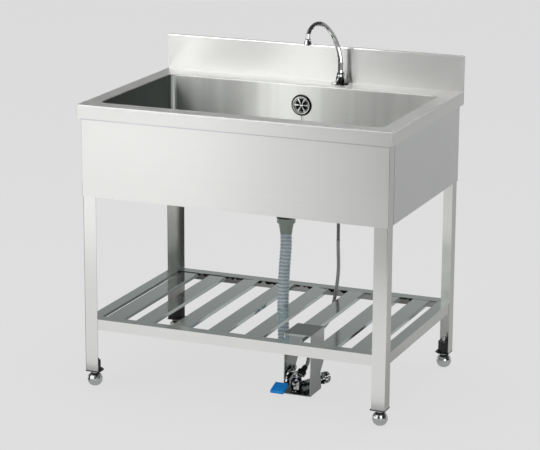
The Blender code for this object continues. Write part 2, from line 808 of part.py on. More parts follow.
def make_foot_socket(name, side, end):
    """Moulded corner socket under a leg, bored for the foot's stem."""
    top = LEG_FOOT_HEIGHT - SEAT_GAP
    bottom = top - SOCKET_PLATE
    full, cut = SOCKET_WIDTH, SOCKET_WIDTH - SOCKET_CHAMFER
    inner = LEG_SHEET + SEAT_GAP
    block, corner = SOCKET_BLOCK_WIDTH, SOCKET_BLOCK_CORNER
    plate = ((0, 0), (full, 0), (full, cut), (cut, full), (0, full))
    plug = ((inner, inner), (block, inner), (block, corner), (corner, block), (inner, block))
    bm = bmesh.new()
    add_prism(bm, in_corner(side, end, plate), bottom, top)
    socket = to_object(name, bm, "black_plastic")
    bm = bmesh.new()
    add_prism(bm, in_corner(side, end, plug), bottom + SOCKET_PLATE / 3, LEG_FOOT_HEIGHT + SOCKET_BLOCK)
    combine(socket, bm, "UNION")
    bore = rod(STEM_DIAMETER / 2 + SEAT_GAP, bottom - SOCKET_PLATE, LEG_FOOT_HEIGHT + 2 * SOCKET_BLOCK)
    change_turned(socket, bore, "DIFFERENCE", at(side * FOOT_X, end * FOOT_Y, 0), 20)
    return socket


def make_foot(name, side, end):
    """Ball foot on a threaded stem; its flat underside is on the floor."""
    radius = BALL_DIAMETER / 2
    centre = radius - BALL_FLAT
    neck, stem = NECK_DIAMETER / 2, STEM_DIAMETER / 2
    neck_top = LEG_FOOT_HEIGHT - 2 * SEAT_GAP - SOCKET_PLATE
    low, high = -math.asin(1 - BALL_FLAT / radius), math.acos(neck / radius)
    steps = 11
    profile = [(0, neck_top + STEM_LENGTH), (0, 0)]
    for k in range(steps + 1):
        angle = low + (high - low) * k / steps
        profile.append((radius * math.cos(angle), centre + radius * math.sin(angle)))
    profile += [
        (neck, neck_top),
        (stem, neck_top),
        (stem, neck_top + STEM_LENGTH - stem / 4),
        (stem * 3 / 4, neck_top + STEM_LENGTH),
    ]
    foot = lathe(name, profile, "chrome", sides=20)
    foot.location = (side * FOOT_X, end * FOOT_Y, 0)
    return foot


# Undershelf


def make_rail(name, half_length, face, turn):
    """Angle rail with mitred ends, its flange on top and turned in; turn is its heading."""
    top, sheet = SHELF_HEIGHT, RAIL_SHEET
    section = (
        (0, top),
        (RAIL_FLANGE, top),
        (RAIL_FLANGE, top - sheet),
        (sheet, top - sheet),
        (sheet, top - RAIL_DROP),
        (0, top - RAIL_DROP),
    )
    bm = bmesh.new()
    ends = []
    for side in (-1, 1):
        ends.append([bm.verts.new((side * (half_length - inset - SEAT_GAP), inset - face, z)) for inset, z in section])
    bm.faces.new(ends[0])
    bm.faces.new(ends[1])
    for k in range(len(section)):
        bm.faces.new((ends[0][k - 1], ends[0][k], ends[1][k], ends[1][k - 1]))
    bmesh.ops.rotate(bm, verts=bm.verts, cent=(0, 0, 0), matrix=Matrix.Rotation(turn, 3, "Z"))
    return to_object(name, bm, "polished_steel")


def slat_centres():
    half = (INNER_SLATS - 1) / 2 * SLAT_PITCH
    inner = [SLAT_SHIFT - half + k * SLAT_PITCH for k in range(INNER_SLATS)]
    return [inner[0] - END_PITCH] + inner + [inner[-1] + END_PITCH]


def make_slat(name, centre):
    """Channel slat, open downwards, whose ends lie under the rails' flanges."""
    half, sheet = SLAT_WIDTH / 2, SLAT_SHEET
    top, low = SLAT_TOP, SLAT_TOP - SLAT_LIP
    section = (
        (-half, low),
        (-half, top),
        (half, top),
        (half, low),
        (half - sheet, low),
        (half - sheet, top - sheet),
        (sheet - half, top - sheet),
        (sheet - half, low),
    )
    bm = bmesh.new()
    add_prism(bm, [(centre + x, z) for x, z in section], -SLAT_END, SLAT_END, "Y")

    def is_bend(a, b):
        return abs(a.z - top) < 1e-6 and abs(b.z - top) < 1e-6 and abs(a.x - b.x) < 1e-6

    bevel_where(bm, is_bend, SLAT_BEND)
    return to_object(name, bm, "polished_steel")


# Drain, overflow and plug


def make_drain():
    centre = at(DRAIN_X, DRAIN_Y, 0)
    seat, wall = STRAINER_SEAT, TAIL_RADIUS - TAIL_BORE
    strainer = lathe(
        "drain_strainer",
        (
            (TAIL_RADIUS, seat - TAIL_LENGTH),
            (TAIL_RADIUS, seat),
            (STRAINER_RADIUS, seat),
            (STRAINER_RADIUS, seat + STRAINER_RISE / 2),
            (STRAINER_RADIUS - STRAINER_RISE / 2, seat + STRAINER_RISE),
            (SEAT_RADIUS, seat + STRAINER_RISE),
            (TAIL_BORE, seat - wall),
            (TAIL_BORE, seat - TAIL_LENGTH),
        ),
        "chrome",
        centre,
        32,
    )
    reach, half, depth = TAIL_BORE + wall / 2, CROSS_BAR / 2, seat - 4 * CROSS_BAR
    for x, y in ((reach, half), (half, reach)):
        join_box(strainer, (DRAIN_X - x, DRAIN_X + x), (DRAIN_Y - y, DRAIN_Y + y), (depth - CROSS_BAR, depth))

    bore = TAIL_RADIUS + SEAT_GAP
    lathe(
        "drain_gasket", rod(GASKET_RADIUS, GASKET_BOTTOM, GASKET_BOTTOM + GASKET_THICKNESS, bore), "rubber", centre
    )
    nut = lathe("drain_lock_nut", rod(LOCK_NUT_RADIUS, LOCK_NUT_BOTTOM, LOCK_NUT_BOTTOM + LOCK_NUT_HEIGHT, bore),
                "black_plastic", centre, 32)
    bm = bmesh.new()
    lobes = 8
    for k in range(lobes):
        angle = 2 * math.pi * (k + 0.5) / lobes
        x = DRAIN_X + LOCK_NUT_RADIUS * 1.05 * math.cos(angle)
        y = DRAIN_Y + LOCK_NUT_RADIUS * 1.05 * math.sin(angle)
        round_cut = [
            (x + LOCK_NUT_RADIUS / 6 * math.cos(a), y + LOCK_NUT_RADIUS / 6 * math.sin(a))
            for a in (2 * math.pi * n / 10 for n in range(10))
        ]
        add_prism(bm, round_cut, LOCK_NUT_BOTTOM - SEAT_GAP, LOCK_NUT_BOTTOM + LOCK_NUT_HEIGHT + SEAT_GAP)
    combine(nut, bm, "DIFFERENCE")

    tee = lathe(
        "drain_tee",
        (
            (TEE_RADIUS, TEE_TOP),
            (TEE_RADIUS, TEE_COLLAR_BOTTOM + TEE_COLLAR),
            (TEE_COLLAR_RADIUS, TEE_COLLAR_BOTTOM + TEE_COLLAR * 0.8),
            (TEE_COLLAR_RADIUS, TEE_COLLAR_BOTTOM),
            (TEE_THREAD_RADIUS, TEE_COLLAR_BOTTOM),
            (TEE_THREAD_RADIUS, TEE_BOTTOM),
            (TEE_BORE, TEE_BOTTOM),
            (TEE_BORE, seat - TAIL_LENGTH - SEAT_GAP),
            (bore, seat - TAIL_LENGTH - SEAT_GAP),
            (bore, TEE_TOP),
        ),
        "black_plastic",
        centre,
        28,
    )
    to_rear = along((DRAIN_X, DRAIN_Y, BRANCH_Z), (0, 1, 0))
    wall = (TEE_BORE + TEE_RADIUS) / 2
    change_turned(tee, rod(BRANCH_RADIUS, wall, BRANCH_REACH), "UNION", to_rear, 20)
    change_turned(tee, rod(BRANCH_BORE, TEE_BORE / 2, BRANCH_REACH + wall), "DIFFERENCE", to_rear, 20)

    thread = TEE_THREAD_RADIUS + SEAT_GAP
    hose_nut = lathe(
        "drain_hose_nut",
        (
            (thread, HOSE_NUT_TOP),
            (HOSE_NUT_RADIUS, HOSE_NUT_TOP),
            (HOSE_NUT_RADIUS, HOSE_NUT_BOTTOM + HOSE_NUT_LIP / 2),
            (HOSE_NUT_RADIUS - HOSE_NUT_LIP / 2, HOSE_NUT_BOTTOM),
            (CUFF_RADIUS + SEAT_GAP, HOSE_NUT_BOTTOM),
            (CUFF_RADIUS + SEAT_GAP, HOSE_NUT_BOTTOM + HOSE_NUT_LIP),
            (thread, HOSE_NUT_BOTTOM + HOSE_NUT_LIP),
        ),
        "cuff_plastic",
        centre,
        28,
    )
    bore = DRAIN_HOSE_BORE / 2
    cuff = lathe(
        "hose_cuff",
        (
            (bore, CUFF_SEAT + CUFF_FLANGE),
            (TEE_THREAD_RADIUS, CUFF_SEAT + CUFF_FLANGE),
            (TEE_THREAD_RADIUS, CUFF_SEAT),
            (CUFF_RADIUS, CUFF_SEAT),
            (CUFF_RADIUS, HOSE_NUT_BOTTOM - CUFF_FLANGE),
            (CUFF_NECK_RADIUS, CUFF_BOTTOM + CUFF_LENGTH / 4),
            (CUFF_NECK_RADIUS, CUFF_BOTTOM + CUFF_FLANGE / 2),
            (CUFF_NECK_RADIUS - CUFF_FLANGE / 2, CUFF_BOTTOM),
            (bore, CUFF_BOTTOM),
        ),
        "cuff_plastic",
        centre,
        28,
    )
    return strainer, nut, tee, hose_nut, cuff


def make_drain_hose():
    """Ribbed hose with its bore, hanging from the cuff through the shelf to a free end."""
    start, end = CUFF_BOTTOM - SEAT_GAP, DRAIN_HOSE_END
    bow = [(DRAIN_X + x, DRAIN_Y + y, start + (end - start) * share) for share, x, y in DRAIN_HOSE_BOW]
    middle = smooth_route(bow, DRAIN_HOSE_PITCH / 2)
    ribs = len(middle) // 2
    middle = smooth_route(bow, (start - end) / (2 * ribs))
    radii = [1.0 if k % 2 else DRAIN_HOSE_VALLEY / DRAIN_HOSE_DIAMETER for k in range(len(middle))]
    skin = cord("drain_hose", middle, DRAIN_HOSE_DIAMETER, "hose_plastic", 2, radii)
    inside = smooth_route(bow, DRAIN_HOSE_DIAMETER)
    inside[0] = inside[0] + Vector((0, 0, DRAIN_HOSE_PITCH))
    inside[-1] = inside[-1] - Vector((0, 0, DRAIN_HOSE_PITCH))
    bore = cord("bore", inside, DRAIN_HOSE_BORE, "hose_plastic", 2)
    graph = bpy.context.evaluated_depsgraph_get()
    bm = bmesh.new()
    bm.from_mesh(bpy.data.meshes.new_from_object(skin.evaluated_get(graph)))
    hollow = bmesh.new()
    hollow.from_mesh(bpy.data.meshes.new_from_object(bore.evaluated_get(graph)))
    bpy.data.objects.remove(skin)
    bpy.data.objects.remove(bore)
    hose = to_object("drain_hose", bm, "hose_plastic")
    combine(hose, hollow, "DIFFERENCE")
    return hose


def make_overflow():
    """Petal grille, its screw, and the elbow and pipe behind the wall that lead to the drain."""
    to_front = along((OVERFLOW_X, BASIN_REAR - SEAT_GAP, OVERFLOW_Z), (0, -1, 0))
    back = -BASIN_SHEET - SEAT_GAP
    screw_bore = SCREW_RADIUS + SEAT_GAP
    grille = lathe(
        "overflow_grille",
        (
            (screw_bore, GRILLE_DISH),
            (SLOT_INNER - 0.002, GRILLE_DISH),
            (SLOT_OUTER + 0.001, GRILLE_DISH / 2),
            (OVERFLOW_HOLE - SEAT_GAP, GRILLE_DISH / 2),
            (OVERFLOW_HOLE, GRILLE_RISE),
            (GRILLE_RADIUS - GRILLE_RISE / 2, GRILLE_RISE),
            (GRILLE_RADIUS, GRILLE_RISE / 3),
            (GRILLE_RADIUS, 0),
            (OVERFLOW_HOLE - SEAT_GAP, 0),
            (OVERFLOW_HOLE - SEAT_GAP, back),
            (screw_bore, back),
        ),
        "chrome",
        to_front,
        36,
    )
    bm = bmesh.new()
    for k in range(GRILLE_SLOTS):
        petal = []
        middle = (SLOT_INNER + SLOT_OUTER) / 2
        for n in range(12):
            a = 2 * math.pi * n / 12
            petal.append(
                (middle + (SLOT_OUTER - SLOT_INNER) / 2 * math.cos(a), SLOT_WIDTH / 2 * math.sin(a))
            )
        turn = 2 * math.pi * (k + 0.5) / GRILLE_SLOTS
        c, s = math.cos(turn), math.sin(turn)
        add_prism(bm, [(c * x - s * y, s * x + c * y) for x, y in petal], back * 2, GRILLE_RISE * 2)
    bmesh.ops.transform(bm, matrix=to_front, verts=bm.verts)
    combine(grille, bm, "DIFFERENCE")

    head = GRILLE_DISH + SEAT_GAP
    screw = lathe(
        "overflow_screw",
        (
            (0, head + SCREW_HEAD * 0.7),
            (SCREW_HEAD * 0.6, head + SCREW_HEAD * 0.6),
            (SCREW_HEAD, head + SCREW_HEAD * 0.2),
            (SCREW_HEAD, head),
            (SCREW_RADIUS, head),
            (SCREW_RADIUS, back - ELBOW_WALL),
            (0, back - ELBOW_WALL),
        ),
        "chrome",
        to_front,
        16,
    )
    eye_place = to_front @ along((0, -RING_RADIUS * 0.55, head + RING_RADIUS * 0.76), (1, 0, 0))
    change_turned(screw, ring_profile(RING_RADIUS * 0.6, RING_WIRE * 0.8), "UNION", eye_place, 14)

    to_rear = along((OVERFLOW_X, BASIN_REAR + BASIN_SHEET + SEAT_GAP, OVERFLOW_Z), (0, 1, 0))
    inside, back_wall = ELBOW_RADIUS - ELBOW_WALL, ELBOW_DEPTH - ELBOW_WALL
    elbow = lathe(
        "overflow_elbow",
        (
            (inside, 0),
            (ELBOW_RADIUS, 0),
            (ELBOW_RADIUS, ELBOW_DEPTH - ELBOW_WALL / 2),
            (ELBOW_RADIUS - ELBOW_WALL / 2, ELBOW_DEPTH),
            (0, ELBOW_DEPTH),
            (0, back_wall),
            (inside, back_wall),
        ),
        "black_plastic",
        to_rear,
    )
    spigot_y = BASIN_REAR + BASIN_SHEET + SEAT_GAP + ELBOW_DEPTH / 2 + ELBOW_WALL / 2
    down = along((OVERFLOW_X, spigot_y, OVERFLOW_Z), (0, 0, -1))
    change_turned(elbow, rod(ELBOW_SPIGOT, inside - ELBOW_WALL * 0.4, ELBOW_DROP), "UNION", down)
    bore = OVERFLOW_PIPE_RADIUS - ELBOW_WALL / 2
    change_turned(elbow, rod(bore, inside / 2, 2 * ELBOW_DROP), "DIFFERENCE", down)

    top = OVERFLOW_Z - ELBOW_DROP - SEAT_GAP
    points = [Vector((OVERFLOW_X, spigot_y, top)), Vector((OVERFLOW_X, spigot_y, top - OVERFLOW_PIPE_BEND))]
    bend, branch_end = OVERFLOW_PIPE_BEND, DRAIN_Y + BRANCH_REACH + SEAT_GAP
    for k in range(7):
        angle = math.radians(15 * k)
        points.append(
            Vector(
                (
                    OVERFLOW_X + (DRAIN_X - OVERFLOW_X) * k / 6,
                    spigot_y - bend * (1 - math.cos(angle)),
                    BRANCH_Z + bend * (1 - math.sin(angle)),
                )
            )
        )
    points.append(Vector((DRAIN_X, branch_end, BRANCH_Z)))
    outer = [OVERFLOW_PIPE_RADIUS] * len(points)
    inner = [BRANCH_BORE] * len(points)
    pipe = sweep("overflow_pipe", points, outer, inner, "hose_plastic", 16, (1, 0, 0), (0, -1, 0))
    return grille, screw, elbow, pipe


def ring_profile(radius, wire, sides=8):
    return [
        (radius + wire * math.cos(2 * math.pi * k / sides), wire * math.sin(2 * math.pi * k / sides))
        for k in range(sides)
    ]


def make_plug():
    """Tapered rubber plug with a wire ring, lying on the basin's floor."""
    x, y, floor = PLUG_X, BASIN_REAR - PLUG_FROM_REAR, BASIN_FLOOR + SEAT_GAP
    plug = lathe(
        "basin_plug",
        (
            (0, PLUG_HEIGHT),
            (PLUG_RADIUS * 0.93, PLUG_HEIGHT),
            (PLUG_RADIUS, PLUG_HEIGHT * 0.85),
            (PLUG_RADIUS, PLUG_HEIGHT * 0.65),
            (PLUG_RADIUS * 0.90, PLUG_HEIGHT * 0.60),
            (PLUG_RADIUS * 0.78, 0),
            (0, 0),
        ),
        "rubber",
        at(x, y, floor),
    )
    place = along((x, y, floor + PLUG_HEIGHT + RING_RADIUS * 0.6), (0.5, -0.85, 0))
    change_turned(plug, ring_profile(RING_RADIUS, RING_WIRE), "UNION", place, 16)
    return plug


def make_chain():
    return cord("plug_chain", smooth_route(CHAIN_ROUTE, 2.6 * CHAIN_DIAMETER), CHAIN_DIAMETER, "chrome", 2)


# Tap


def make_tap():
    centre = at(TAP_X, TAP_Y, 0)
    deck, top = RIM_HEIGHT + SEAT_GAP, TAP_COLLAR_TOP
    lathe(
        "tap_base",
        (
            (TAP_BORE, top),
            (TAP_COLLAR_RADIUS, top),
            (TAP_COLLAR_RADIUS, top - TAP_COLLAR),
            (TAP_NUT_RADIUS, top - TAP_COLLAR),
            (TAP_NUT_RADIUS * 1.1, top - TAP_COLLAR - TAP_FLANGE * 0.4),
            (TAP_FLANGE_RADIUS * 0.92, deck + TAP_FLANGE * 0.38),
            (TAP_FLANGE_RADIUS, deck + TAP_FLANGE * 0.22),
            (TAP_FLANGE_RADIUS, deck),
            (SHANK_RADIUS, deck),
            (SHANK_RADIUS, SHANK_BOTTOM),
            (TAP_BORE, SHANK_BOTTOM),
        ),
        "chrome",
        centre,
        32,
    )
    nut_low = top - TAP_COLLAR + SEAT_GAP
    spout_bore = SPOUT_FOOT_RADIUS + SEAT_GAP
    shoulder = top + SPOUT_COLLAR + 2 * SEAT_GAP
    lathe(
        "tap_nut",
        (
            (spout_bore, nut_low + TAP_NUT_HEIGHT),
            (TAP_NUT_TOP_RADIUS, nut_low + TAP_NUT_HEIGHT),
            (TAP_NUT_TOP_RADIUS * 1.06, nut_low + TAP_NUT_HEIGHT * 0.80),
            (TAP_NUT_RADIUS * 0.84, nut_low + TAP_NUT_HEIGHT * 0.55),
            (TAP_NUT_RADIUS * 0.96, nut_low + TAP_NUT_HEIGHT * 0.28),
            (TAP_NUT_RADIUS, nut_low + TAP_NUT_HEIGHT * 0.12),
            (TAP_NUT_RADIUS, nut_low),
            (TAP_COLLAR_RADIUS + SEAT_GAP, nut_low),
            (TAP_COLLAR_RADIUS + SEAT_GAP, shoulder),
            (spout_bore, shoulder),
        ),
        "chrome",
        centre,
        32,
    )
    nut_top = DECK_UNDERSIDE - SEAT_GAP
    make_hex_nut("deck_lock_nut", DECK_NUT_FLATS, nut_top - DECK_NUT_HEIGHT, nut_top, SHANK_RADIUS, centre)


def make_hex_nut(name, flats, low, high, bore, place, finish="chrome"):
    """Hexagon nut with its bore, its corners eased at both ends."""
    bm = bmesh.new()
    add_prism(bm, hexagon(flats), low, high)
    bmesh.ops.transform(bm, matrix=place, verts=bm.verts)
    nut = to_object(name, bm, finish, 20.0)
    overrun = high - low
    change_turned(nut, rod(bore + SEAT_GAP, low - overrun, high + overrun), "DIFFERENCE", place, 20)
    return nut


def make_spout():
    """Swivelling gooseneck: a tapered tube on a collar that the nut holds down."""
    forward = Vector((-math.sin(SPOUT_TURN), -math.cos(SPOUT_TURN), 0))
    foot = TAP_COLLAR_TOP + SEAT_GAP - RIM_HEIGHT
    route = ((0.0, foot),) + SPOUT_RISE
    points = smooth_route([forward * reach + Vector((0, 0, RIM_HEIGHT + rise)) for reach, rise in route], 0.0125)
    count = len(points)
    outer = []
    for k in range(count):
        share = min(1.0, max(0.0, (k / (count - 1) - 0.2) / 0.7))
        outer.append(SPOUT_FOOT_RADIUS + (SPOUT_TIP_RADIUS - SPOUT_FOOT_RADIUS) * share)
    inner = [radius - SPOUT_WALL for radius in outer]
    across = forward.cross(Vector((0, 0, 1)))
    spout = sweep("spout", points, outer, inner, "chrome", SPOUT_SIDES, across, (0, 0, -1))
    collar_low = RIM_HEIGHT + foot
    overlap = SPOUT_FOOT_RADIUS - SPOUT_WALL / 2
    change_turned(spout, rod(SPOUT_COLLAR_RADIUS, collar_low, collar_low + SPOUT_COLLAR, overlap), "UNION", sides=28)
    spout.location = (TAP_X, TAP_Y, 0)

    tip = points[-1]
    top, bottom = tip.z - SEAT_GAP, tip.z - SEAT_GAP - AERATOR_HEIGHT
    face = bottom + AERATOR_HEIGHT * 0.10
    aerator = lathe(
        "aerator",
        (
            (0, top),
            (AERATOR_TOP_RADIUS * 0.9, top),
            (AERATOR_TOP_RADIUS, top - AERATOR_HEIGHT * 0.08),
            (AERATOR_TOP_RADIUS, top - AERATOR_HEIGHT * 0.30),
            (AERATOR_RADIUS * 0.92, bottom + AERATOR_HEIGHT * 0.35),
            (AERATOR_RADIUS, bottom + AERATOR_HEIGHT * 0.12),
            (AERATOR_RADIUS, bottom),
            (AERATOR_RADIUS * 0.82, bottom),
            (AERATOR_RADIUS * 0.82, face),
            (0, face),
        ),
        "chrome",
        at(tip.x, tip.y, 0),
    )
    aerator.parent = spout
    return spout, aerator


# Supply line


def make_supply():
    centre = at(TAP_X, TAP_Y, 0)
    top = SHANK_BOTTOM - SEAT_GAP
    make_hex_nut("supply_union", UNION_FLATS, top - UNION_HEIGHT, top, SUPPLY_PIPE_RADIUS, centre, "black_steel")
    lathe(
        "supply_pipe",
        (
            (SUPPLY_PIPE_RADIUS * 0.7, top - SEAT_GAP),
            (SUPPLY_PIPE_RADIUS, top - SEAT_GAP),
            (SUPPLY_PIPE_RADIUS, SUPPLY_PIPE_END),
            (SUPPLY_PIPE_RADIUS * 0.7, SUPPLY_PIPE_END),
        ),
        "cuff_plastic",
        centre,
        16,
    )


def outlet_point(distance):
    """A point on the axis of the foot valve's outlet, at a distance from its root."""
    across, back, up = OUTLET_OFFSET
    return Vector((VALVE_X + across, VALVE_Y + back, up)) + Vector(OUTLET_HEADING).normalized() * distance


def make_supply_hose():
    end = outlet_point(OUTLET_LENGTH + OUTLET_NUT_LENGTH + 2 * SEAT_GAP)
    before = outlet_point(OUTLET_LENGTH + OUTLET_NUT_LENGTH + SUPPLY_HOSE_DIAMETER)
    start = Vector((TAP_X, TAP_Y, SUPPLY_PIPE_END - SEAT_GAP))
    bent = smooth_route(SUPPLY_ROUTE + (tuple(before),), 2.5 * SUPPLY_HOSE_DIAMETER)
    return cord("supply_hose", [start] + bent + [end], SUPPLY_HOSE_DIAMETER, "braid", 3)


# Foot valve, its bracket and pedal


def make_bracket():
    """Folded bracket that hangs from a slat, with tapered side plates and a floor."""
    sheet = BRACKET_SHEET
    front, rear = BRACKET_Y, BRACKET_Y + BRACKET_TOP_LENGTH
    waist = BRACKET_Y + BRACKET_WAIST
    foot = BRACKET_Y + BRACKET_NARROW
    side = (
        (front, BRACKET_FLOOR),
        (front, BRACKET_TOP),
        (rear, BRACKET_TOP),
        (rear, BRACKET_TOP * 0.52),
        (waist, BRACKET_TOP * 0.37),
        (foot, BRACKET_FLOOR + sheet * 1.5),
        (foot - sheet, BRACKET_FLOOR),
    )
    bm = bmesh.new()
    add_prism(bm, side, BRACKET_LEFT, BRACKET_RIGHT, "X")
    bracket = to_object("pedal_bracket", bm, "brushed_steel")
    inside = (BRACKET_LEFT + sheet, BRACKET_RIGHT - sheet)
    cut_box(bracket, inside, (front - sheet, rear + sheet), (BRACKET_FLOOR + sheet, BRACKET_TOP - sheet))
    tongue = (BRACKET_X, BRACKET_RIGHT - sheet * 3)
    join_box(bracket, tongue, (foot - 4 * sheet, foot + BRACKET_TONGUE), (BRACKET_FLOOR, BRACKET_FLOOR + sheet))
    change_turned(
        bracket,
        rod(PIVOT_RADIUS + SEAT_GAP, -sheet, 2 * sheet),
        "DIFFERENCE",
        along((BRACKET_LEFT, PIVOT_Y, PIVOT_HEIGHT), (1, 0, 0)),
        20,
    )
    return bracket


def make_valve():
    """Foot valve: upright body with an angled outlet, an inlet arm, gland nut and spindle."""
    centre = at(VALVE_X, VALVE_Y, 0)
    neck = VALVE_RADIUS - VALVE_FLANGE / 2
    body = lathe(
        "valve_body",
        (
            (0, VALVE_TOP),
            (neck, VALVE_TOP),
            (neck, VALVE_TOP - VALVE_FLANGE / 2),
            (VALVE_RADIUS, VALVE_TOP - VALVE_FLANGE),
            (VALVE_RADIUS, VALVE_BASE + VALVE_FLANGE * 2),
            (neck, VALVE_BASE + VALVE_FLANGE * 1.5),
            (neck, VALVE_BASE + VALVE_FLANGE),
            (VALVE_FLANGE_RADIUS, VALVE_BASE + VALVE_FLANGE),
            (VALVE_FLANGE_RADIUS, VALVE_BASE),
            (0, VALVE_BASE),
        ),
        "chrome",
        centre,
        24,
    )
    outlet = along(outlet_point(0), OUTLET_HEADING)
    change_turned(body, rod(OUTLET_RADIUS, -OUTLET_RADIUS, OUTLET_LENGTH), "UNION", outlet, 18)
    heading = (math.sin(INLET_YAW), math.cos(INLET_YAW), math.tan(INLET_PITCH))
    inlet = along((VALVE_X, VALVE_Y, INLET_HEIGHT), heading)
    collar = INLET_LENGTH * 0.9
    change_turned(
        body,
        (
            (0, INLET_LENGTH),
            (INLET_RADIUS, INLET_LENGTH),
            (INLET_RADIUS, collar),
            (INLET_RADIUS * 1.25, collar),
            (INLET_RADIUS * 1.25, collar * 0.9),
            (INLET_RADIUS, collar * 0.9),
            (INLET_RADIUS, 0),
            (0, 0),
        ),
        "UNION",
        inlet,
        20,
    )
    stroke = 1.1 * FINGER_REACH * PEDAL_STROKE
    spindle_bottom = GLAND_BOTTOM - SPINDLE_RADIUS
    bore = SPINDLE_RADIUS + SEAT_GAP
    change_turned(body, rod(bore, spindle_bottom - stroke, 2 * VALVE_TOP), "DIFFERENCE", centre, 16)
    make_hex_nut(
        "gland_nut", GLAND_FLATS, GLAND_BOTTOM, GLAND_BOTTOM + GLAND_HEIGHT, SPINDLE_RADIUS, centre
    )

    nut_place = outlet @ at(0, 0, OUTLET_LENGTH + SEAT_GAP)
    bm = bmesh.new()
    add_prism(bm, hexagon(OUTLET_NUT_FLATS), 0, OUTLET_NUT_LENGTH * 0.45)
    bmesh.ops.transform(bm, matrix=nut_place, verts=bm.verts)
    nut = to_object("outlet_nut", bm, "black_steel", 20.0)
    sleeve = (
        (0, OUTLET_NUT_LENGTH),
        (OUTLET_RADIUS * 0.85, OUTLET_NUT_LENGTH),
        (OUTLET_RADIUS * 0.95, OUTLET_NUT_LENGTH * 0.7),
        (OUTLET_RADIUS * 0.95, OUTLET_NUT_LENGTH * 0.3),
        (0, OUTLET_NUT_LENGTH * 0.3),
    )
    change_turned(nut, sleeve, "UNION", nut_place, 16)

    cap_place = inlet @ at(0, 0, INLET_LENGTH + SEAT_GAP)
    bm = bmesh.new()
    outline = []
    for k in range(2 * CAP_RIDGES):
        angle = math.pi * k / CAP_RIDGES
        radius = CAP_RADIUS if k % 2 else CAP_RADIUS * 0.93
        outline.append((radius * math.cos(angle), radius * math.sin(angle)))
    add_prism(bm, outline, 0, CAP_LENGTH)
    bmesh.ops.transform(bm, matrix=cap_place, verts=bm.verts)
    cap = to_object("inlet_cap", bm, "chrome", 20.0)

    spindle = lathe(
        "valve_spindle",
        (
            (0, SPINDLE_TOP),
            (SPINDLE_RADIUS * 0.8, SPINDLE_TOP),
            (SPINDLE_RADIUS, SPINDLE_TOP - SPINDLE_RADIUS * 0.2),
            (SPINDLE_RADIUS, spindle_bottom),
            (0, spindle_bottom),
        ),
        "chrome",
        sides=16,
    )
    spindle.location = (VALVE_X, VALVE_Y, 0)
    return body, nut, cap, spindle


def pad_frame():
    """Frame of the pad: X across it, Y from its back edge to the front, Z out of its face."""
    back = Vector((BRACKET_LEFT + PAD_OFFSET, BRACKET_Y - PAD_CLEARANCE, PAD_BACK_HEIGHT))
    forward = Vector((0, -math.cos(PAD_SLOPE), -math.sin(PAD_SLOPE)))
    across = Vector((-1, 0, 0))
    turn = Matrix((across, forward, across.cross(forward))).transposed().to_4x4()
    return at(*back) @ turn


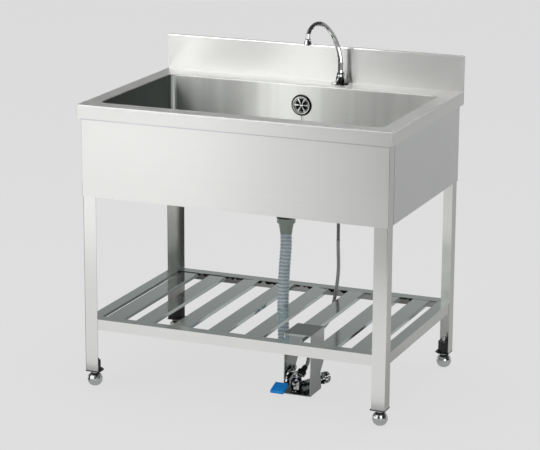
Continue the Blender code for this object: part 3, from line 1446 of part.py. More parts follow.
def make_pedal():
    """Pedal lever with its tongue and finger, the pad on it, and the pin that it turns on."""
    plane = pad_frame()
    tongue_top = -PAD_THICKNESS + PAD_WALL
    near = plane @ Vector((0, 0, tongue_top))
    far = plane @ Vector((0, PAD_LENGTH * 0.35, tongue_top))
    thick = PAD_WALL
    outline = [
        (VALVE_Y - FINGER_REACH * 0.4, PIVOT_HEIGHT + LEVER_BOSS * 0.2),
        (near.y + PAD_CLEARANCE * 0.6, near.z + LEVER_BOSS),
        (near.y + PAD_CLEARANCE * 0.3, near.z - thick * 0.4),
        (far.y, far.z - thick * 0.4),
        (far.y, far.z - thick * 1.6),
        (near.y, near.z - thick * 2.0),
        (BRACKET_Y + LEVER_BOSS, LEVER_BOTTOM),
        (VALVE_Y, PIVOT_HEIGHT - LEVER_BOSS * 2),
    ]
    for k in range(9):
        angle = math.radians(-90 + 22.5 * k)
        outline.append((PIVOT_Y + LEVER_BOSS * math.cos(angle), PIVOT_HEIGHT + LEVER_BOSS * math.sin(angle)))
    bm = bmesh.new()
    add_prism(bm, [(y, z) for y, z in outline], LEVER_X, LEVER_X + LEVER_SHEET, "X")
    lever = to_object("pedal_lever", bm, "black_steel")
    boss = along((BRACKET_LEFT + BRACKET_SHEET + SEAT_GAP, PIVOT_Y, PIVOT_HEIGHT), (1, 0, 0))
    boss_length = LEVER_INSET + LEVER_SHEET / 2
    change_turned(lever, rod(LEVER_BOSS * 0.8, 0, boss_length), "UNION", boss, 20)
    change_turned(lever, rod(PIVOT_RADIUS + SEAT_GAP, -boss_length, 3 * boss_length), "DIFFERENCE", boss, 20)
    finger = along((LEVER_X + LEVER_SHEET / 2, VALVE_Y, PIVOT_HEIGHT), (1, 0, 0))
    finger_length = VALVE_X - LEVER_X - LEVER_SHEET / 2 + SPINDLE_RADIUS
    change_turned(lever, rod(FINGER_RADIUS, 0, finger_length), "UNION", finger, 16)

    inset = PAD_WALL
    tongue = ((inset, 0), (PAD_WIDTH - inset, 0), (PAD_WIDTH - inset, PAD_LENGTH - inset), (inset, PAD_LENGTH - inset))
    bm = bmesh.new()
    half = PAD_WIDTH / 2
    add_prism(bm, [(x - half, y) for x, y in tongue], tongue_top - PAD_WALL, tongue_top)
    bmesh.ops.transform(bm, matrix=plane, verts=bm.verts)
    combine(lever, bm, "UNION")

    bm = bmesh.new()
    pad_outline = ((-half, 0), (half, 0), (half, PAD_LENGTH), (-half, PAD_LENGTH))
    add_prism(bm, pad_outline, -PAD_THICKNESS, 0)
    bevel_where(bm, lambda a, b: a.z > -1e-6 and b.z > -1e-6, PAD_WALL / 3)
    bmesh.ops.transform(bm, matrix=plane, verts=bm.verts)
    pad = to_object("pedal_pad", bm, "blue_plastic")
    bm = bmesh.new()
    clear = inset - SEAT_GAP
    pocket = (
        (clear - half, -PAD_LENGTH),
        (half - clear, -PAD_LENGTH),
        (half - clear, PAD_LENGTH - clear),
        (clear - half, PAD_LENGTH - clear),
    )
    add_prism(bm, pocket, -2 * PAD_THICKNESS, tongue_top + SEAT_GAP)
    bmesh.ops.transform(bm, matrix=plane, verts=bm.verts)
    combine(pad, bm, "DIFFERENCE")
    bm = bmesh.new()
    step = PAD_LENGTH / (PAD_RIBS + 1)
    for k in range(PAD_RIBS):
        middle, wide = step * (k + 1), step * 0.16
        cut = ((inset - half, middle - wide), (half - inset, middle - wide),
               (half - inset, middle + wide), (inset - half, middle + wide))
        add_prism(bm, cut, -PAD_WALL / 3, PAD_WALL)
    bmesh.ops.transform(bm, matrix=plane, verts=bm.verts)
    combine(pad, bm, "DIFFERENCE")

    head = PIVOT_RADIUS * 1.6
    pin_end = BRACKET_SHEET + LEVER_INSET + LEVER_SHEET + 2 * SEAT_GAP
    pin_place = along((BRACKET_LEFT, PIVOT_Y, PIVOT_HEIGHT), (1, 0, 0))
    pin = lathe(
        "pedal_pin",
        (
            (0, -SEAT_GAP - head / 2),
            (head, -SEAT_GAP - head / 2),
            (head, -SEAT_GAP),
            (PIVOT_RADIUS, -SEAT_GAP),
            (PIVOT_RADIUS, pin_end),
            (head, pin_end),
            (head, pin_end + LEVER_SHEET / 4),
            (0, pin_end + LEVER_SHEET / 4),
        ),
        "chrome",
        pin_place,
        20,
    )

    hinge = bpy.data.objects.new("pedal_hinge", None)
    bpy.context.scene.collection.objects.link(hinge)
    hinge.location = (LEVER_X, PIVOT_Y, PIVOT_HEIGHT)
    for piece in (lever, pad):
        piece.parent = hinge
        piece.matrix_parent_inverse = Matrix.Translation(-hinge.location)
    return lever, pad, pin


def main():
    for old in list(bpy.data.objects):
        bpy.data.objects.remove(old)
    make_sink_top()
    make_basin()
    make_front_apron()
    make_side_panel("left_side_panel", -1)
    make_side_panel("right_side_panel", 1)
    make_rear_panel()
    for name, side, end in CORNERS:
        make_leg(f"{name}_leg", side, end)
        make_foot_socket(f"{name}_socket", side, end)
        make_foot(f"{name}_foot", side, end)
    make_rail("front_rail", RAIL_X, RAIL_Y, 0)
    make_rail("right_rail", RAIL_Y, RAIL_X, math.pi / 2)
    make_rail("rear_rail", RAIL_X, RAIL_Y, math.pi)
    make_rail("left_rail", RAIL_Y, RAIL_X, -math.pi / 2)
    for number, centre in enumerate(slat_centres(), 1):
        make_slat(f"slat_{number}", centre)
    make_drain()
    make_drain_hose()
    make_overflow()
    make_plug()
    make_chain()
    make_tap()
    make_spout()
    make_supply()
    make_supply_hose()
    make_bracket()
    make_valve()
    make_pedal()


main()
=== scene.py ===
"""Dresses the sink unit: stainless sheet, chrome fittings, plastic and rubber, hoses and chain.

Metres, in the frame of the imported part: +X to the right, +Y to the back, +Z up.
"""

import math

import bmesh
import bpy
from mathutils import Matrix, Vector


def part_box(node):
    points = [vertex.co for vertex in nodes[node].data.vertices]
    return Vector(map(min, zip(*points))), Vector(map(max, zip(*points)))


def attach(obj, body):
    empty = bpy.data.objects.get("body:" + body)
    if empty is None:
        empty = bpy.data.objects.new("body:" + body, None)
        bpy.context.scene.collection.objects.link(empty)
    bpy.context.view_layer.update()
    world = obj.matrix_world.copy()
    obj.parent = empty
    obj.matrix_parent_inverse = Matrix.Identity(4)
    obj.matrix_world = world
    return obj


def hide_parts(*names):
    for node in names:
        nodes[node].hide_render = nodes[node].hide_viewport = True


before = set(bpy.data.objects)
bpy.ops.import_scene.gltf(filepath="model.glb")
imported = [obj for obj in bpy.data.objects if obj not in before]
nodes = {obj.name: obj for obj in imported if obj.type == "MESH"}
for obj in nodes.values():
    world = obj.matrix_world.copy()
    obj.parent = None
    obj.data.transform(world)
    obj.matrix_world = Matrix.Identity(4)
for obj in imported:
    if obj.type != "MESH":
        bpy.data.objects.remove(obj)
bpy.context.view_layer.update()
scene = bpy.context.scene

# Camera of the photograph
CAMERA_PLACE = (2.2848, -5.5828, 2.0040)
CAMERA_AZIMUTH = 22.329
CAMERA_DOWN = 14.535
CAMERA_ROLL = 0.319
FOCAL_PIXELS = 2245.7
PHOTO_WIDTH = 540.0
SENSOR_WIDTH = 36.0

# Studio. FLOOR_GLOW is the share of the floor that shows the background's tone, whatever its light.
BACKGROUND = 0.735
FLOOR_REACH = 60.0
FLOOR_SQUARES = 8
FLOOR_GLOW = 0.92
FLOOR_ROUGHNESS = 0.9
ROOM_COLOUR = (0.98, 0.99, 1.0, 1.0)
ROOM_STRENGTH = 0.55

# Drain hose, as the CAD has it. A point of its bow is a share of its drop, then metres right and back.
DRAIN_AT = (0.005, 0.0875)
DRAIN_HOSE_END = 0.060
DRAIN_HOSE_DIAMETER = 0.034
DRAIN_HOSE_VALLEY = 0.0284
DRAIN_HOSE_BORE = 0.0240
DRAIN_HOSE_PITCH = 0.0106
RIB_STEPS = 8
RIB_SHAPE = 0.6
DRAIN_HOSE_SIDES = 32
MOUTH_SHARE = 0.86
MOUTH_DEPTH = 0.022
DRAIN_HOSE_BOW = (
    (0.00, 0.0000, 0.0000),
    (0.12, 0.0000, 0.0000),
    (0.35, -0.0045, -0.0010),
    (0.60, -0.0070, -0.0020),
    (0.80, -0.0060, -0.0010),
    (1.00, -0.0040, 0.0000),
)

# Supply hose, from the pipe under the tap to the nut on the foot valve's inlet
SUPPLY_DIAMETER = 0.010
SUPPLY_SPACING = 0.008
SUPPLY_SIDES = 20
SUPPLY_START = (0.098, 0.258, 0.3457)
VALVE_AT = (0.1448, -0.175)
INLET_AT = (VALVE_AT[0] - 0.0060, VALVE_AT[1] + 0.0168, 0.0551)
INLET_HEADING = (0.275, 0.700, 0.660)
INLET_LENGTH = 0.018
INLET_NUT_LENGTH = 0.028
INLET_CLEARANCE = 0.0006
SUPPLY_ROUTE = (
    (0.0980, 0.2580, 0.3330),
    (0.0988, 0.2575, 0.3100),
    (0.1003, 0.2560, 0.2850),
    (0.1020, 0.2520, 0.2600),
    (0.1032, 0.2440, 0.2350),
    (0.1042, 0.2330, 0.2120),
    (0.1060, 0.2180, 0.1920),
    (0.1100, 0.1960, 0.1760),
    (0.1170, 0.1650, 0.1640),
    (0.1260, 0.1280, 0.1550),
    (0.1340, 0.0850, 0.1500),
    (0.1385, 0.0400, 0.1490),
    (0.1400, -0.0020, 0.1480),
    (0.1420, -0.0400, 0.1430),
    (0.1475, -0.0720, 0.1330),
)

# Overflow grille on the basin's rear wall, and the chain from its screw to the plug
OVERFLOW_AT = (0.0015, 0.7410)
GRILLE_RADIUS = 0.0305
GRILLE_PETALS = 6
CHAIN_DIAMETER = 0.0026
CHAIN_PITCH = 0.0033
CHAIN_WIRE_RADIUS = 0.00035
CHAIN_WIRE_SIDES = 6
CHAIN_BALL = 0.97
CHAIN_END_BALL = 0.62
CHAIN_ROUTE = (
    (0.0015, 0.1991, 0.7334),
    (0.0022, 0.1992, 0.7200),
    (0.0050, 0.2015, 0.6900),
    (0.0062, 0.2025, 0.6500),
    (0.0070, 0.2025, 0.6100),
    (0.0078, 0.2010, 0.5800),
    (0.0100, 0.1960, 0.5620),
    (0.0150, 0.1870, 0.5545),
    (0.0230, 0.1760, 0.5532),
    (0.0190, 0.1620, 0.5532),
    (0.0130, 0.1500, 0.5532),
    (0.0150, 0.1380, 0.5532),
    (0.0205, 0.1310, 0.5560),
    (0.0250, 0.1320, 0.5635),
    (0.0300, 0.1390, 0.5705),
    (0.0355, 0.1480, 0.5716),
    (0.0398, 0.1538, 0.5700),
)

# A smooth route's points between two given ones, and a direction that no tube starts along
ROUTE_STEPS = 24
TUBE_ASIDE = (0, 1, 0.3)

# Brushed steel: how often its textures repeat in a metre
LINES_ACROSS = 420
LINES_ALONG = 2.5
HAIRS_ACROSS = 1500
HAIRS_ALONG = 12.0
PATCHES = 2.6
SCRATCHES = 30.0
# Stretch of the painted reflection streaks down the basin's walls
PAINTED_STREAK_STRETCH = (13, 0.4, 0.4)
# Scallops along the starts of dark joints and of painted shadow lines
SEAM_AND_SHADOW_SCALLOPS = (95, 1, 1)
# Pale tone of the painted highlight on bends
BEND_HIGHLIGHT_TONE = (0.93, 0.93, 0.92)

# Wire braid: strands round the hose, their turns in a metre, and the half waves of one strand's wires
BRAID_STRANDS = 8.0
BRAID_TURNS = 260.0
BRAID_WIRES = 8


# Shader helpers


class Shader:
    """A Principled material that is built up node by node."""

    def __init__(self, name, metallic):
        self.material = bpy.data.materials.new(name)
        self.material.use_nodes = True
        self.tree = self.material.node_tree
        self.main = self.tree.nodes["Principled BSDF"]
        self.main.inputs["Metallic"].default_value = metallic
        self.place = self.add("ShaderNodeTexCoord").outputs["Object"]

    def add(self, kind, **settings):
        """A new node, with its settings."""
        node = self.tree.nodes.new(kind)
        for key, value in settings.items():
            setattr(node, key, value)
        return node

    def link(self, source, target):
        self.tree.links.new(source, target)

    def math(self, operation, a, b=0.0):
        """The operation on a and b, each a number or an output of another node."""
        node = self.add("ShaderNodeMath", operation=operation)
        for socket, value in zip(node.inputs, (a, b)):
            if isinstance(value, (int, float)):
                socket.default_value = value
            else:
                self.link(value, socket)
        return node.outputs[0]

    def noise(self, scale, detail=3.0, roughness=0.5, stretch=(1, 1, 1), distortion=0.0):
        """Noise from 0 to 1, with about scale times stretch waves in a metre along each axis."""
        mapping = self.add("ShaderNodeMapping")
        mapping.inputs["Scale"].default_value = stretch
        self.link(self.place, mapping.inputs["Vector"])
        node = self.add("ShaderNodeTexNoise")
        node.inputs["Scale"].default_value = scale
        node.inputs["Detail"].default_value = detail
        node.inputs["Roughness"].default_value = roughness
        node.inputs["Distortion"].default_value = distortion
        self.link(mapping.outputs[0], node.inputs["Vector"])
        return node.outputs["Fac"]

    def spread(self, value, low, high, start=0.0, end=1.0):
        """low where the value is start or less, high where it is end or more, and even between."""
        node = self.add("ShaderNodeMapRange")
        for key, number in (("From Min", start), ("From Max", end), ("To Min", low), ("To Max", high)):
            node.inputs[key].default_value = number
        self.link(value, node.inputs["Value"])
        return node.outputs[0]

    def colours(self, value, stops):
        """The colour at the value, from stops that each have a value and a colour."""
        node = self.add("ShaderNodeValToRGB")
        ramp = node.color_ramp
        while len(ramp.elements) < len(stops):
            ramp.elements.new(0.5)
        for element, (where, colour) in zip(ramp.elements, stops):
            element.position = where
            element.color = (*colour, 1.0)
        self.link(value, node.inputs[0])
        return node.outputs[0]

    def blend(self, share, first, second):
        """The first colour where the share is 0, and the second where it is 1."""
        node = self.add("ShaderNodeMix", data_type="RGBA")
        self.link(share, node.inputs["Factor"])
        colour_inputs = [socket for socket in node.inputs if socket.type == "RGBA"]
        self.link(first, colour_inputs[0])
        self.link(second, colour_inputs[1])
        return [socket for socket in node.outputs if socket.type == "RGBA"][0]

    def set(self, socket, value):
        """Lead an output to a socket of the Principled node."""
        self.link(value, self.main.inputs[socket])

    def bump(self, height, strength, distance):
        """Raise the surface by the height, on top of the bumps so far."""
        node = self.add("ShaderNodeBump")
        node.inputs["Strength"].default_value = strength
        node.inputs["Distance"].default_value = distance
        self.link(height, node.inputs["Height"])
        earlier = self.main.inputs["Normal"].links
        if earlier:
            self.link(earlier[0].from_socket, node.inputs["Normal"])
        self.link(node.outputs[0], self.main.inputs["Normal"])


def tones(colour, low, high):
    """Colour stops for a noise, from a darker to a lighter tone of the colour."""
    return ((0.25, [c * low for c in colour]), (0.75, [c * high for c in colour]))


def brushed(name, colour, roughness, grain, depth=0.04, smudge=0.03, stretch=0.5,
            up_face_painted_shading=None, right_face_painted_shading=None, seams_and_painted_shadows=(), bend_highlight_roughness=None, painted_streaks=0.0):
    """Stainless sheet with fine lines along its grain, faint cloudy patches and a few scratches.

    grain is 0 for the axis that the lines follow and 1 for the others. upper and inner are tones of
    painted light and shade, for the faces that look up and to the right. Each of the seams is a dark
    strip: its axis, where it starts and ends along that axis, how uneven its start is, and its tone;
    dark joints and painted shadow lines under overhangs both take this form. edge is the roughness of
    bends, which also get a painted highlight: a pale tone and less metal. runs is the contrast of
    painted reflection streaks, darker bands down its walls.
    """
    made = Shader(name, 1.0)
    along = grain.index(0)
    lines = made.noise(1.0, 3.0, 0.6, [LINES_ACROSS if g else LINES_ALONG for g in grain])
    hair = made.noise(1.0, 2.0, 0.5, [HAIRS_ACROSS if g else HAIRS_ALONG for g in grain])
    patches = made.noise(PATCHES, 3.0, 0.5, distortion=0.3)
    marks = made.noise(SCRATCHES, 5.0, 0.7, distortion=0.8)
    facing = made.add("ShaderNodeSeparateXYZ")
    made.link(made.add("ShaderNodeNewGeometry").outputs["Normal"], facing.inputs[0])
    shade = made.math("ADD", made.math("MULTIPLY", lines, 0.4), made.math("MULTIPLY", patches, 0.6))
    base = made.colours(shade, tones(colour, 0.955, 1.03))
    # Painted reflection streaks: darker vertical bands down the walls.
    if painted_streaks:
        streak_noise = made.noise(1.0, 3.0, 0.6, PAINTED_STREAK_STRETCH)
        base = made.blend(made.spread(streak_noise, 0.0, painted_streaks, 0.42, 0.60), base,
                          made.colours(shade, tones([c * 0.45 for c in colour], 0.98, 1.01)))
    # Painted light and shade: faces that look up, and faces that look to the right, take tones of their
    # own.
    if up_face_painted_shading:
        base = made.blend(made.spread(facing.outputs["Z"], 0.0, 1.0, 0.6, 0.9), base,
                          made.colours(shade, tones(up_face_painted_shading, 0.96, 1.03)))
    if right_face_painted_shading:
        base = made.blend(made.spread(facing.outputs["X"], 0.0, 1.0, 0.4, 0.9), base,
                          made.colours(shade, tones(right_face_painted_shading, 0.94, 1.04)))
    # Dark strips, with scalloped starts: a dark joint, and painted shadow under an overhang.
    for axis, start, end, scallop, tone in seams_and_painted_shadows:
        at = made.add("ShaderNodeSeparateXYZ")
        made.link(made.place, at.inputs[0])
        scallop_noise = made.noise(1.0, 1.0, 0.4, SEAM_AND_SHADOW_SCALLOPS)
        first = made.spread(scallop_noise, start - scallop, start + scallop, 0.35, 0.65)
        after = made.math("GREATER_THAN", at.outputs[axis], first)
        before = made.math("LESS_THAN", at.outputs[axis], end)
        base = made.blend(made.math("MULTIPLY", after, before), base,
                          made.colours(shade, tones((tone, tone, tone * 1.05), 0.8, 1.2)))
    # Bends get a painted highlight: a pale tone, and less metal so that the lamps' light shows on them.
    if bend_highlight_roughness:
        sides = [made.math("ABSOLUTE", facing.outputs[axis]) for axis in "XYZ"]
        flat = made.math("MAXIMUM", sides[0], made.math("MAXIMUM", sides[1], sides[2]))
        base = made.blend(made.spread(flat, 1.0, 0.0, 0.90, 0.98), base,
                          made.colours(shade, tones(BEND_HIGHLIGHT_TONE, 0.96, 1.04)))
        made.set("Metallic", made.spread(flat, 0.30, 1.0, 0.90, 0.98))
    made.set("Base Color", base)
    fine = made.spread(lines, -0.012, 0.012, 0.3, 0.7)
    rough = made.math("ADD", fine, made.spread(patches, -smudge, smudge, 0.3, 0.7))
    rough = made.math("ADD", rough, made.spread(marks, 0.0, 0.012, 0.6, 0.85))
    rough = made.math("ADD", rough, roughness)
    if bend_highlight_roughness:
        rough = made.math("MULTIPLY", rough, made.spread(flat, bend_highlight_roughness / roughness, 1.0, 0.93, 0.99))
    made.set("Roughness", rough)
    made.bump(hair, depth * 0.4, 0.00003)
    tangent = made.add("ShaderNodeTangent", direction_type="RADIAL", axis="XYZ"[along])
    made.link(tangent.outputs[0], made.main.inputs["Tangent"])
    across = made.math("ABSOLUTE", facing.outputs["XYZ"[along]])
    made.set("Anisotropic", made.spread(across, stretch, 0.0, 0.3, 0.8))
    return made.material


def chrome(name, colour, roughness, black_patch_scale=None):
    """Bright plating: water marks and fine wear show in its gloss.

    grease is how often patches of near-black colour repeat in a metre.
    """
    made = Shader(name, 1.0)
    marks = made.noise(70.0, 5.0, 0.6, distortion=0.6)
    wear = made.noise(420.0, 3.0, 0.6)
    base = made.colours(marks, tones(colour, 0.95, 1.02))
    if black_patch_scale:
        patch_noise = made.noise(black_patch_scale, 2.0, 0.5, distortion=0.9)
        base = made.blend(made.spread(patch_noise, 1.0, 0.0, 0.46, 0.52), base,
                          made.colours(marks, tones((0.020, 0.021, 0.020), 0.8, 1.2)))
    made.set("Base Color", base)
    rough = made.math("ADD", made.spread(marks, 0.0, 0.04, 0.45, 0.75),
                      made.spread(wear, 0.0, 0.02, 0.5, 0.8))
    made.set("Roughness", made.math("ADD", rough, roughness))
    made.bump(marks, 0.04, 0.0003)
    return made.material


def grille_chrome(name, centre, radius, petals):
    """Chromed grille about a centre in X and Z, with painted shade at its rim, in its groove and its
    petal holes.
    """
    made = Shader(name, 1.0)
    at = made.add("ShaderNodeSeparateXYZ")
    made.link(made.place, at.inputs[0])
    across = made.math("SUBTRACT", at.outputs["X"], centre[0])
    up = made.math("SUBTRACT", at.outputs["Z"], centre[1])
    squares = [made.math("MULTIPLY", way, way) for way in (across, up)]
    reach = made.math("DIVIDE", made.math("SQRT", made.math("ADD", *squares)), radius)
    dirt = made.noise(260.0, 4.0, 0.6, distortion=0.4)
    reach = made.math("ADD", reach, made.spread(dirt, -0.02, 0.02, 0.3, 0.7))
    dark = (0.014, 0.015, 0.014)
    light = (0.66, 0.68, 0.66)
    # Painted shade in rings by distance from the centre: the rim, the groove and the petal holes, with
    # light rings and spokes between.
    rings = made.colours(reach, (
        (0.0, light), (0.10, light), (0.15, dark), (0.60, dark), (0.64, light), (0.67, dark),
        (0.71, dark), (0.74, light), (0.81, light), (0.84, dark), (1.0, dark),
    ))
    angle = made.math("ARCTAN2", across, up)
    wave = made.math("COSINE", made.math("MULTIPLY", angle, petals))
    spoke = made.math("MULTIPLY", made.math("LESS_THAN", wave, -0.66),
                      made.math("LESS_THAN", reach, 0.68))
    made.set("Base Color", made.blend(spoke, rings, made.colours(dirt, tones(light, 0.9, 1.05))))
    made.set("Roughness", made.spread(dirt, 0.08, 0.22, 0.3, 0.7))
    made.bump(dirt, 0.05, 0.0002)
    return made.material


def moulded(name, colour, roughness, grain=900.0, depth=0.10, low=0.88, high=1.10, ribs=None):
    """Moulded plastic or enamel with a fine skin texture, flow marks and dull patches.

    ribs are a corrugated hose's pitch and the tone of the painted shade in its grooves, on its own UV
    map.
    """
    made = Shader(name, 0.0)
    skin = made.noise(grain, 2.0, 0.5)
    flow = made.noise(26.0, 4.0, 0.6, distortion=0.7)
    base = made.colours(flow, tones(colour, low, high))
    if ribs:
        pitch, groove = ribs
        split = made.add("ShaderNodeSeparateXYZ")
        made.link(made.add("ShaderNodeUVMap", uv_map="along").outputs[0], split.inputs[0])
        # Painted shade: darker in the valleys between the ribs.
        wave = made.math("COSINE", made.math("MULTIPLY", split.outputs[1], 2 * math.pi / pitch))
        base = made.blend(made.spread(wave, 0.0, 1.0, -0.2, 0.9), base,
                          made.colours(flow, tones(groove, low, high)))
    made.set("Base Color", base)
    rough = made.math("ADD", made.spread(flow, -0.07, 0.09, 0.3, 0.7),
                      made.spread(skin, -0.03, 0.03))
    made.set("Roughness", made.math("ADD", rough, roughness))
    made.bump(skin, depth, 0.0002)
    made.bump(flow, 0.05, 0.0006)
    return made.material


def rubber(name, colour):
    """Dull rubber with pale dust in patches."""
    made = Shader(name, 0.0)
    dust = made.noise(60.0, 6.0, 0.7, distortion=0.5)
    skin = made.noise(1400.0, 2.0, 0.5)
    dusty = [c * 2.2 + 0.01 for c in colour]
    made.set("Base Color", made.colours(dust, ((0.35, colour), (0.80, dusty))))
    made.set("Roughness", made.spread(dust, 0.55, 0.80, 0.3, 0.7))
    made.bump(skin, 0.20, 0.0002)
    return made.material


def braid(name):
    """Fine stainless wires plaited both ways round a hose, on its own UV map, with painted shade where
    the wires dip and between them.
    """
    made = Shader(name, 1.0)
    split = made.add("ShaderNodeSeparateXYZ")
    made.link(made.add("ShaderNodeUVMap", uv_map="along").outputs[0], split.inputs[0])
    around = made.math("MULTIPLY", split.outputs[0], BRAID_STRANDS)
    along = made.math("MULTIPLY", split.outputs[1], BRAID_TURNS)
    turns = [made.math(way, around, along) for way in ("ADD", "SUBTRACT")]
    waves = []
    wires = []
    for turn in turns:
        waves.append(made.math("SINE", made.math("MULTIPLY", turn, 2 * math.pi)))
        wire = made.math("SINE", made.math("MULTIPLY", turn, BRAID_WIRES * math.pi))
        wires.append(made.math("ABSOLUTE", wire))
    over = made.math("MULTIPLY", waves[0], waves[1])
    first = made.math("GREATER_THAN", over, 0.0)
    second = made.math("SUBTRACT", 1.0, first)
    height = made.math("ADD", made.math("MULTIPLY", first, wires[0]),
                       made.math("MULTIPLY", second, wires[1]))
    rounded = made.math("ADD", made.math("MULTIPLY", height, 0.6),
                        made.math("MULTIPLY", made.math("ABSOLUTE", over), 0.6))
    dirt = made.noise(90.0, 4.0, 0.6)
    # Painted shade: the tone follows the wires' relief, dark between them; dirt varies it.
    shade = made.math("MULTIPLY", rounded, made.spread(dirt, 0.75, 1.1, 0.3, 0.7))
    gap_shade = (0.06, 0.06, 0.06)
    steel = (0.80, 0.80, 0.79)
    made.set("Base Color", made.colours(shade, ((0.08, gap_shade), (0.70, steel))))
    made.set("Roughness", made.spread(dirt, 0.25, 0.45, 0.3, 0.7))
    made.bump(rounded, 0.9, 0.0005)
    return made.material


# Materials of the CAD nodes, with the grains and seams that brushed takes

PANEL = (0.860, 0.858, 0.840)
SIDE_PANEL = (0.852, 0.856, 0.861)
SHELF = (0.780, 0.860, 0.835)
ALONG_X = (0, 1, 1)
ALONG_Y = (1, 0, 1)
ALONG_Z = (1, 1, 0)
# Dark strips: painted shadow under the rim, a dark joint at the side panels' front corners, and painted
# shade under the rear rail's flange.
RIM_PAINTED_SHADOW = ("Z", 0.7575, 0.7640, 0.0003, 0.64)
CORNER_SEAM = ("Y", -0.2540, -0.2512, 0.0001, 0.012)
RAIL_PAINTED_SHADE = ("Z", 0.182, 0.1965, 0.004, 0.012)

along_x = brushed("panel_steel_x", PANEL, 0.30, ALONG_X, 0.04, 0.02, 0.75, seams_and_painted_shadows=(RIM_PAINTED_SHADOW,))
along_y = brushed("panel_steel_y", SIDE_PANEL, 0.30, ALONG_Y, 0.04, 0.02, 0.75, seams_and_painted_shadows=(CORNER_SEAM,))
along_z = brushed("panel_steel_z", PANEL, 0.24, ALONG_Z)
# The basin's left wall, which looks to the right, is painted in shade, and painted reflection streaks
# run down its walls.
bowl_steel = brushed("basin_steel", (0.830, 0.840, 0.810), 0.33, ALONG_X, 0.03, 0.03, 0.95,
                     right_face_painted_shading=(0.08, 0.096, 0.090), painted_streaks=0.20)
# Faces of the top that look to the right are painted lighter, and its bends carry the painted highlight.
top_steel = brushed("top_steel", PANEL, 0.36, ALONG_X, 0.04, 0.02, 0.95,
                    right_face_painted_shading=(0.95, 0.95, 0.935), bend_highlight_roughness=0.12)
# The front rail's upward faces take the shelf's tone as painted shading.
rail_x = brushed("rail_steel_x", PANEL, 0.20, ALONG_X, up_face_painted_shading=SHELF)
# The rear rail is a darker, shaded copy of the steel: painted shade, with more under its flange, and its
# upward faces in the shelf's tone.
shaded_rear_rail = brushed("rear_rail_painted_shade", (0.50, 0.51, 0.49), 0.20, ALONG_X, up_face_painted_shading=SHELF,
                    seams_and_painted_shadows=(RAIL_PAINTED_SHADE,))
# The right rail's upward faces take the shelf's tone as painted shading.
rail_y = brushed("rail_steel_y", PANEL, 0.20, ALONG_Y, up_face_painted_shading=SHELF)
# The left rail's faces that look to the right are painted in shade, and its upward faces take the
# shelf's tone.
rail_left = brushed("left_rail_steel", PANEL, 0.20, ALONG_Y, up_face_painted_shading=SHELF, right_face_painted_shading=(0.46, 0.50, 0.49))
slat_steel = brushed("shelf_steel", SHELF, 0.10, ALONG_Y, 0.02, 0.02)
# The bracket's upward faces are painted in shade.
bracket_steel = brushed("bracket_steel", (0.640, 0.670, 0.650), 0.16, ALONG_Z,
                        up_face_painted_shading=(0.330, 0.370, 0.360))
bright = chrome("bright_chrome", (0.93, 0.94, 0.95), 0.01)
grille_steel = grille_chrome("grille_chrome", OVERFLOW_AT, GRILLE_RADIUS, GRILLE_PETALS)
chain_steel = chrome("chain_steel", (0.30, 0.31, 0.30), 0.12)
foot_chrome = chrome("foot_chrome", (0.90, 0.92, 0.91), 0.15)
valve_chrome = chrome("valve_chrome", (0.94, 0.96, 0.96), 0.03, black_patch_scale=75.0)
socket_plastic = moulded("socket_plastic", (0.018, 0.018, 0.019), 0.42)
fitting_plastic = moulded("fitting_plastic", (0.022, 0.022, 0.023), 0.38)
cuff_plastic = moulded("cuff_plastic", (0.275, 0.320, 0.288), 0.32, 700.0, 0.08, 0.80, 1.20)
pad_plastic = moulded("pad_plastic", (0.000, 0.235, 0.660), 0.36, 1100.0, 0.16)
hose_plastic = moulded("hose_plastic", (0.470, 0.545, 0.600), 0.30, 600.0, 0.05)
# The drain hose's rib valleys carry painted shade.
ribbed_plastic = moulded("ribbed_plastic", (0.520, 0.595, 0.640), 0.26, 600.0, 0.05,
                         ribs=(DRAIN_HOSE_PITCH, (0.330, 0.395, 0.440)))
pipe_plastic = moulded("pipe_plastic", (0.170, 0.175, 0.165), 0.34, 700.0, 0.06)
enamel = moulded("black_enamel", (0.020, 0.020, 0.022), 0.22, 500.0, 0.06)
black_rubber = rubber("black_rubber", (0.018, 0.018, 0.018))
wire_braid = braid("wire_braid")

CORNERS = [f"{end}_{side}" for end in ("front", "rear") for side in ("left", "right")]
SLATS = 8
FINISHES = {
    top_steel: ["sink_top"],
    along_x: ["front_apron", "rear_panel"],
    along_y: ["left_side_panel", "right_side_panel"],
    along_z: [f"{corner}_leg" for corner in CORNERS],
    bowl_steel: ["basin"],
    rail_x: ["front_rail"],
    shaded_rear_rail: ["rear_rail"],
    rail_y: ["right_rail"],
    rail_left: ["left_rail"],
    slat_steel: [f"slat_{k}" for k in range(1, SLATS + 1)],
    bracket_steel: ["pedal_bracket"],
    foot_chrome: [f"{corner}_foot" for corner in CORNERS],
    bright: ["drain_strainer", "overflow_screw", "deck_lock_nut", "spout", "aerator"],
    grille_steel: ["overflow_grille"],
    valve_chrome: ["valve_body", "gland_nut", "inlet_cap", "valve_spindle", "pedal_pin", "pedal_lever",
                   "tap_base", "tap_nut"],
    socket_plastic: [f"{corner}_socket" for corner in CORNERS],
    fitting_plastic: ["drain_lock_nut", "drain_tee", "overflow_elbow"],
    cuff_plastic: ["drain_hose_nut", "hose_cuff"],
    pipe_plastic: ["supply_pipe"],
    hose_plastic: ["overflow_pipe"],
    pad_plastic: ["pedal_pad"],
    enamel: ["outlet_nut", "supply_union"],
    black_rubber: ["drain_gasket", "basin_plug"],
}
for finish, names in FINISHES.items():
    for name in names:
        nodes[name].data.materials.clear()
        nodes[name].data.materials.append(finish)


# Hoses and chain


